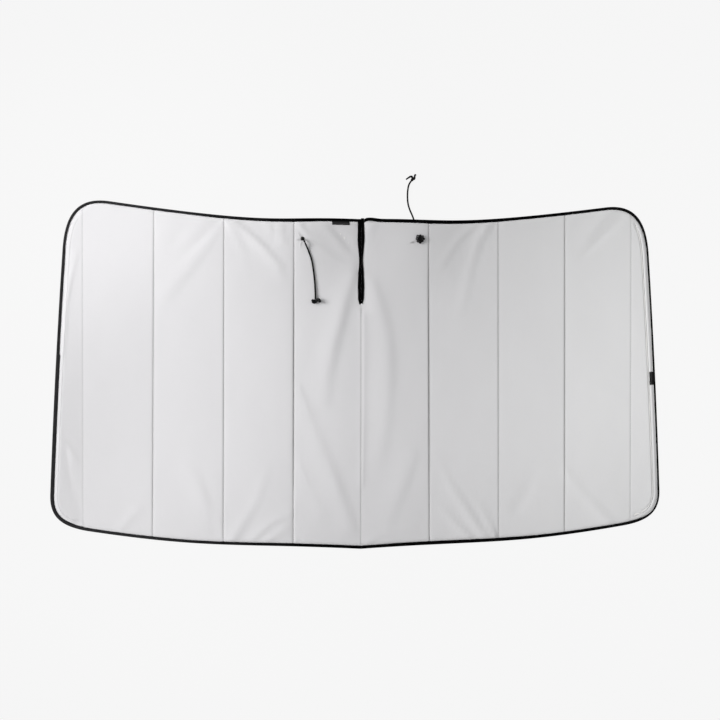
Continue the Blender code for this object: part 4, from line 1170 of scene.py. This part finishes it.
# Each hook's two arms in tenths of a mm: radius at the hub, at the end and of the tip, then places from the hub as
# (across, along, up)
HOOK_ARMS = {
    "left": [
        (36, 32, 37, [(0, 0, 0), (-26, -12, 6), (-49, -32, 16), (-72, -42, 28), (-92, -26, 36), (-99, 6, 38)]),
        (36, 32, 37, [(0, 0, 0), (22, 26, 4), (44, 30, 12), (63, 13, 22), (70, -14, 30)]),
    ],
    "right": [
        (30, 17, 19, [
            (0, 0, 0), (-32, 24, 0), (-60, 34, -2), (-82, 12, -4), (-98, -27, -7), (-109, -62, -9),
            (-117, -92, -11)]),
        (28, 20, 25, [
            (0, 0, 0), (17, 12, -1), (24, 34, -3), (13, 58, -5), (-8, 88, -7), (-16, 108, -8), (-15, 120, -8)]),
    ],
}
HUB_ALONG = np.array([-0.0044, -0.0040, -0.0032, -0.0012, 0.0012, 0.0032, 0.0042])
HUB_RADII = np.array([0.0030, 0.0035, 0.0035, 0.0032, 0.0033, 0.0035, 0.0026])
HUB_BEYOND_CORD, HOOK_SKIN_STEP = 0.004, 0.0004


def cord_centres(side, route, on_face, start):
    """A cord's middle line, evenly spaced along a smooth curve from its stop, as in the model's source."""
    points = [(side * EYELET_X, EYELET_Y, start)]
    for dx, dy, height in np.array(route) / 10000:
        x, y = side * EYELET_X + dx, EYELET_Y + dy
        bed = float(lift(x, y)) + FACE_TOP if on_face else FLOOR_CLEARANCE
        points.append((x, y, bed + height))
    curve = smooth_curve(points)
    total = lengths(curve)[-1]
    return at_length(curve, np.linspace(0.0, total, math.ceil(total / CORD_STEP) + 1))


def make_hook(label, cord_end, heading):
    """A moulded double hook: hub, collar, two arms that thin towards round tips, melted into one skin."""
    parts = [tube_shape(np.outer(HUB_ALONG, (0.0, 1.0, 0.0)), HUB_RADII, UP, 24)]
    for *radii, places in HOOK_ARMS[label]:
        root, end, tip_radius = np.array(radii) / 10000
        route = smooth_curve(np.array(places) / 10000, 6)
        parts.append(tube_shape(route, root + (end - root) * np.linspace(0.0, 1.0, len(route)), UP, 14))
        tip = np.linspace(-math.pi / 2 + 0.2, math.pi / 2 - 0.2, 9)
        ball = route[-1] + np.outer(tip_radius * np.sin(tip), (0.0, 1.0, 0.0))
        parts.append(tube_shape(ball, tip_radius * np.cos(tip), UP, 14))
    faces, count = [], 0
    for part_points, part_faces, _, _ in parts:
        faces += [(count + face).tolist() for face in part_faces]
        count += len(part_points)
    across = np.array([heading[1], -heading[0], 0.0])
    centre = cord_end + heading * (END_GAP + HUB_BEYOND_CORD)
    points = centre + np.vstack([part[0] for part in parts]) @ np.array([across, heading, UP])
    rough = bpy.data.meshes.new("hook_parts")
    rough.from_pydata(settled(points).tolist(), [], faces)
    guide = into_scene("hook_parts", rough)
    melt = guide.modifiers.new("melt", "REMESH")
    melt.mode = "VOXEL"
    melt.voxel_size = HOOK_SKIN_STEP
    ease = guide.modifiers.new("ease", "SMOOTH")
    ease.factor, ease.iterations = 0.5, 6
    bpy.context.view_layer.update()
    mesh = bpy.data.meshes.new_from_object(guide.evaluated_get(bpy.context.evaluated_depsgraph_get()))
    bpy.data.objects.remove(guide, do_unlink=True)
    mesh.name = f"hook_{label}"
    made = finished(f"hook_{label}", mesh, PLASTIC)
    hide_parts(f"cord_hook_{label}")
    return made


def make_cord(label, side, route, on_face, start, stop_underside, exit_height):
    """An elastic cord from its stop through the eyelet to its hook."""
    centres = cord_centres(side, route, on_face, start)
    far, around = lengths(centres), 12
    points, faces, rows, columns = tube_shape(centres, np.full(len(far), CORD_DIAMETER / 2), (1.0, 0.0, 0.0), around)
    ends = [np.zeros((around, 2)), np.full((around, 2), (far[-1], 0.0))]
    made = new_piece(f"elastic_{label}", points, faces, ELASTIC,
                     uv=[*np.stack([far[rows], columns / around], axis=2), *ends])
    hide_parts(f"elastic_cord_{label}")
    heading = (centres[-1] - centres[-2]) * (1.0, 1.0, 0.0)
    hook = make_hook(label, centres[-1], heading / np.linalg.norm(heading))
    stop = make_stop(label, side, stop_underside)
    out = settled((side * EYELET_X, EYELET_Y, exit_height))
    [tuple(map(float, p)) for p in settled(centres)]


# Labels


def make_label(name, near, far, node):
    """A woven label ruled between two lines, raised off the cloth and curled a little at its free edge."""
    v = np.linspace(0.0, 1.0, 9)[:, None]
    x, y = np.moveaxis(near[:, None, :] * (1 - v) + far[:, None, :] * v, 2, 0)
    distance = outline_distance(x, y)
    base = lift(x, y) + FACE_IN_TAPE + (FACE_TOP - FACE_IN_TAPE) * held((distance - 0.0082) / 0.0084) + 0.0009
    curl = 0.0006 * v[:, 0] ** 2 + 0.0002 * np.sin(np.linspace(0.3, 5.2, len(near)))[:, None] * v[:, 0]
    points = np.stack([x, y, np.maximum(base, face_height(x, y, distance) + 0.0004) + curl], axis=2)
    faces, rows, columns = quads(*x.shape)
    uv = np.stack([lengths(near)[rows], columns / 8.0], axis=2)
    made = new_piece(name, points, faces, WOVEN, uv=[*uv])
    made.data.update()
    if sum(p.normal.z for p in made.data.polygons) < 0:
        made.data.flip_normals()
    solid = made.modifiers.new("thickness", "SOLIDIFY")
    solid.thickness = LABEL_THICKNESS
    solid.offset = 0.0
    bevel = made.modifiers.new("edge", "BEVEL")
    bevel.width, bevel.segments = LABEL_BEVEL, 2
    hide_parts(node)
    return made


def make_labels():
    """The label that hangs from the top tape left of the slit, and the one beside the tape on the right."""
    x = -np.linspace(TOP_LABEL_FROM_SLIT, TOP_LABEL_FROM_SLIT + TOP_LABEL_LENGTH, 40)
    near = np.stack([x, top_edge(x) - TOP_LABEL_FROM_EDGE], axis=1)
    top = make_label("top_label_cloth", near, near - (0.0, TOP_LABEL_WIDTH), "top_label")
    on_side = (HALF_LENGTHS > JOINS[1]) & (HALF_LENGTHS < JOINS[2])
    middle = np.interp(SIDE_LABEL_BELOW_CENTRE, -HALF[on_side][:, 1], HALF_LENGTHS[on_side])
    edge = at_length(HALF, middle + np.linspace(-0.5, 0.5, 32) * SIDE_LABEL_LENGTH)
    inward = inward_normals(edge)[16]
    near, far = edge + SIDE_LABEL_FROM * inward, edge + SIDE_LABEL_TO * inward
    side = make_label("side_label_cloth", near, far, "side_label")
    return [top, side]


# Camera, lamps and floor

CAMERA_PLACE, CAMERA_TURN = (-0.399845, 0.033901, 3.603609), (0.00136, -0.109405, 0.00106)
LENS, SENSOR = 75.0, 36.0
BACKGROUND, SKY, FLOOR_TONE = 0.932, 0.42, 0.86
FLOOR_REACH = 14.0
SHADOW_HIDDEN = 0.97

# Lamps: name, place, the point that each is aimed at, watts, colour and spread in radians
LAMP_WIDTH, LAMP_HEIGHT = 1.3, 0.6
LAMPS = [
    ("left_lamp", (-1.225, 0.152, 0.590), (-0.101, -0.138, 0.0), 4.50, (1.0, 0.985, 1.0), 1.047),
    ("top_lamp", (-0.809, 0.536, 0.778), (-0.752, 0.464, 0.0), 0.86, (1.0, 0.985, 1.0), 0.747),
    ("right_lamp", (-0.300, 0.131, 1.117), (1.163, 0.077, 0.0), 2.94, (0.995, 1.0, 0.985), 0.912),
]


def make_camera():
    """The camera above the cover, a little to its left and turned back to it."""
    data = bpy.data.cameras.new("camera")
    data.lens, data.sensor_width = LENS, SENSOR
    data.clip_end = 50.0
    made = into_scene("camera", data)
    made.location, made.rotation_euler = CAMERA_PLACE, CAMERA_TURN
    bpy.context.scene.camera = made


def make_lamp(name, place, target, watts, colour, spread):
    """A soft lamp at its place, tilted and turned so that it faces its target."""
    data = bpy.data.lights.new(name, "AREA")
    data.shape = "RECTANGLE"
    data.size, data.size_y = LAMP_WIDTH, LAMP_HEIGHT
    data.energy, data.color, data.spread = watts, colour, spread
    made = into_scene(name, data)
    x, y, z = np.array(target) - place
    made.location = place
    made.rotation_euler = (math.atan2(math.hypot(x, y), -z), 0.0, math.atan2(y, x) - math.pi / 2)
    made.visible_camera = False


def make_floor():
    """A wide pale floor that shows its own even tone and keeps a small part of the shadows on it."""
    made = Finish("pale_floor", 0.9)
    made.colour(shade(FLOOR_TONE))
    glow = made.node("Emission", {}, {"Color": shade(BACKGROUND)})
    lit = Number(made, made.shader.outputs[0])
    mixed = made.node("MixShader", {}, {0: made.seen_ray() * SHADOW_HIDDEN, 1: lit, 2: glow})
    made.put(made.tree.nodes["Material Output"].inputs["Surface"], mixed)
    mesh = bpy.data.meshes.new("floor")
    corners = [(x * FLOOR_REACH, y * FLOOR_REACH, 0.0) for x, y in ((-1, -1), (1, -1), (1, 1), (-1, 1))]
    mesh.from_pydata(corners, [], [(0, 1, 2, 3)])
    mesh.materials.append(made.material)
    floor = into_scene("floor", mesh)
    floor.location = (0.0, 0.0, -FLOOR_CLEARANCE)


def make_world():
    """Soft light from all round; what the camera or a reflection sees of it is the background's tone."""
    world = bpy.data.worlds.new("studio")
    world.use_nodes = True
    bpy.context.scene.world = world
    made = Tree(world.node_tree)
    nodes = world.node_tree.nodes
    nodes["Background"].inputs["Color"].default_value = shade(SKY)
    sky = Number(made, nodes["Background"].outputs[0])
    backdrop = made.node("Background", {}, {"Color": shade(BACKGROUND)})
    made.put(nodes["World Output"].inputs["Surface"],
             made.node("MixShader", {}, {0: made.seen_ray(), 1: sky, 2: backdrop}))


def main():
    """Makes every piece, then the floor, the world and the lamps."""
    make_camera()
    make_cord("left", -1, FRONT_ROUTE, True, STOP_HEIGHT + END_GAP, 0.0, FRONT_EXIT)
    make_cord("right", 1, BACK_ROUTE, False, OVER_EYELET - END_GAP, OVER_EYELET, BACK_EXIT)
    face = cloth("face_cloth", True, face_height, FACE, False)
    lining = cloth("lining_cloth", False, lining_height, LINING, True)
    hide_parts("face_fabric")
    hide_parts("lining_fabric")
    trim = make_tapes()
    trim.append(seam_stitches())
    labels = make_labels()
    for side in SIDES:
        make_eyelet(*side)
    for name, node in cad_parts.items():
        kept = FOAM if name.startswith("board_") else METAL if name.startswith("eyelet_washer") else None
        if kept:
            node.data.materials.clear()
            node.data.materials.append(kept)
    x, y = np.vstack([HALF, HALF[::-1] * (-1.0, 1.0)]).T
    make_floor()
    make_world()
    for lamp in LAMPS:
        make_lamp(*lamp)
    bpy.context.scene.view_settings.view_transform = "Standard"


main()
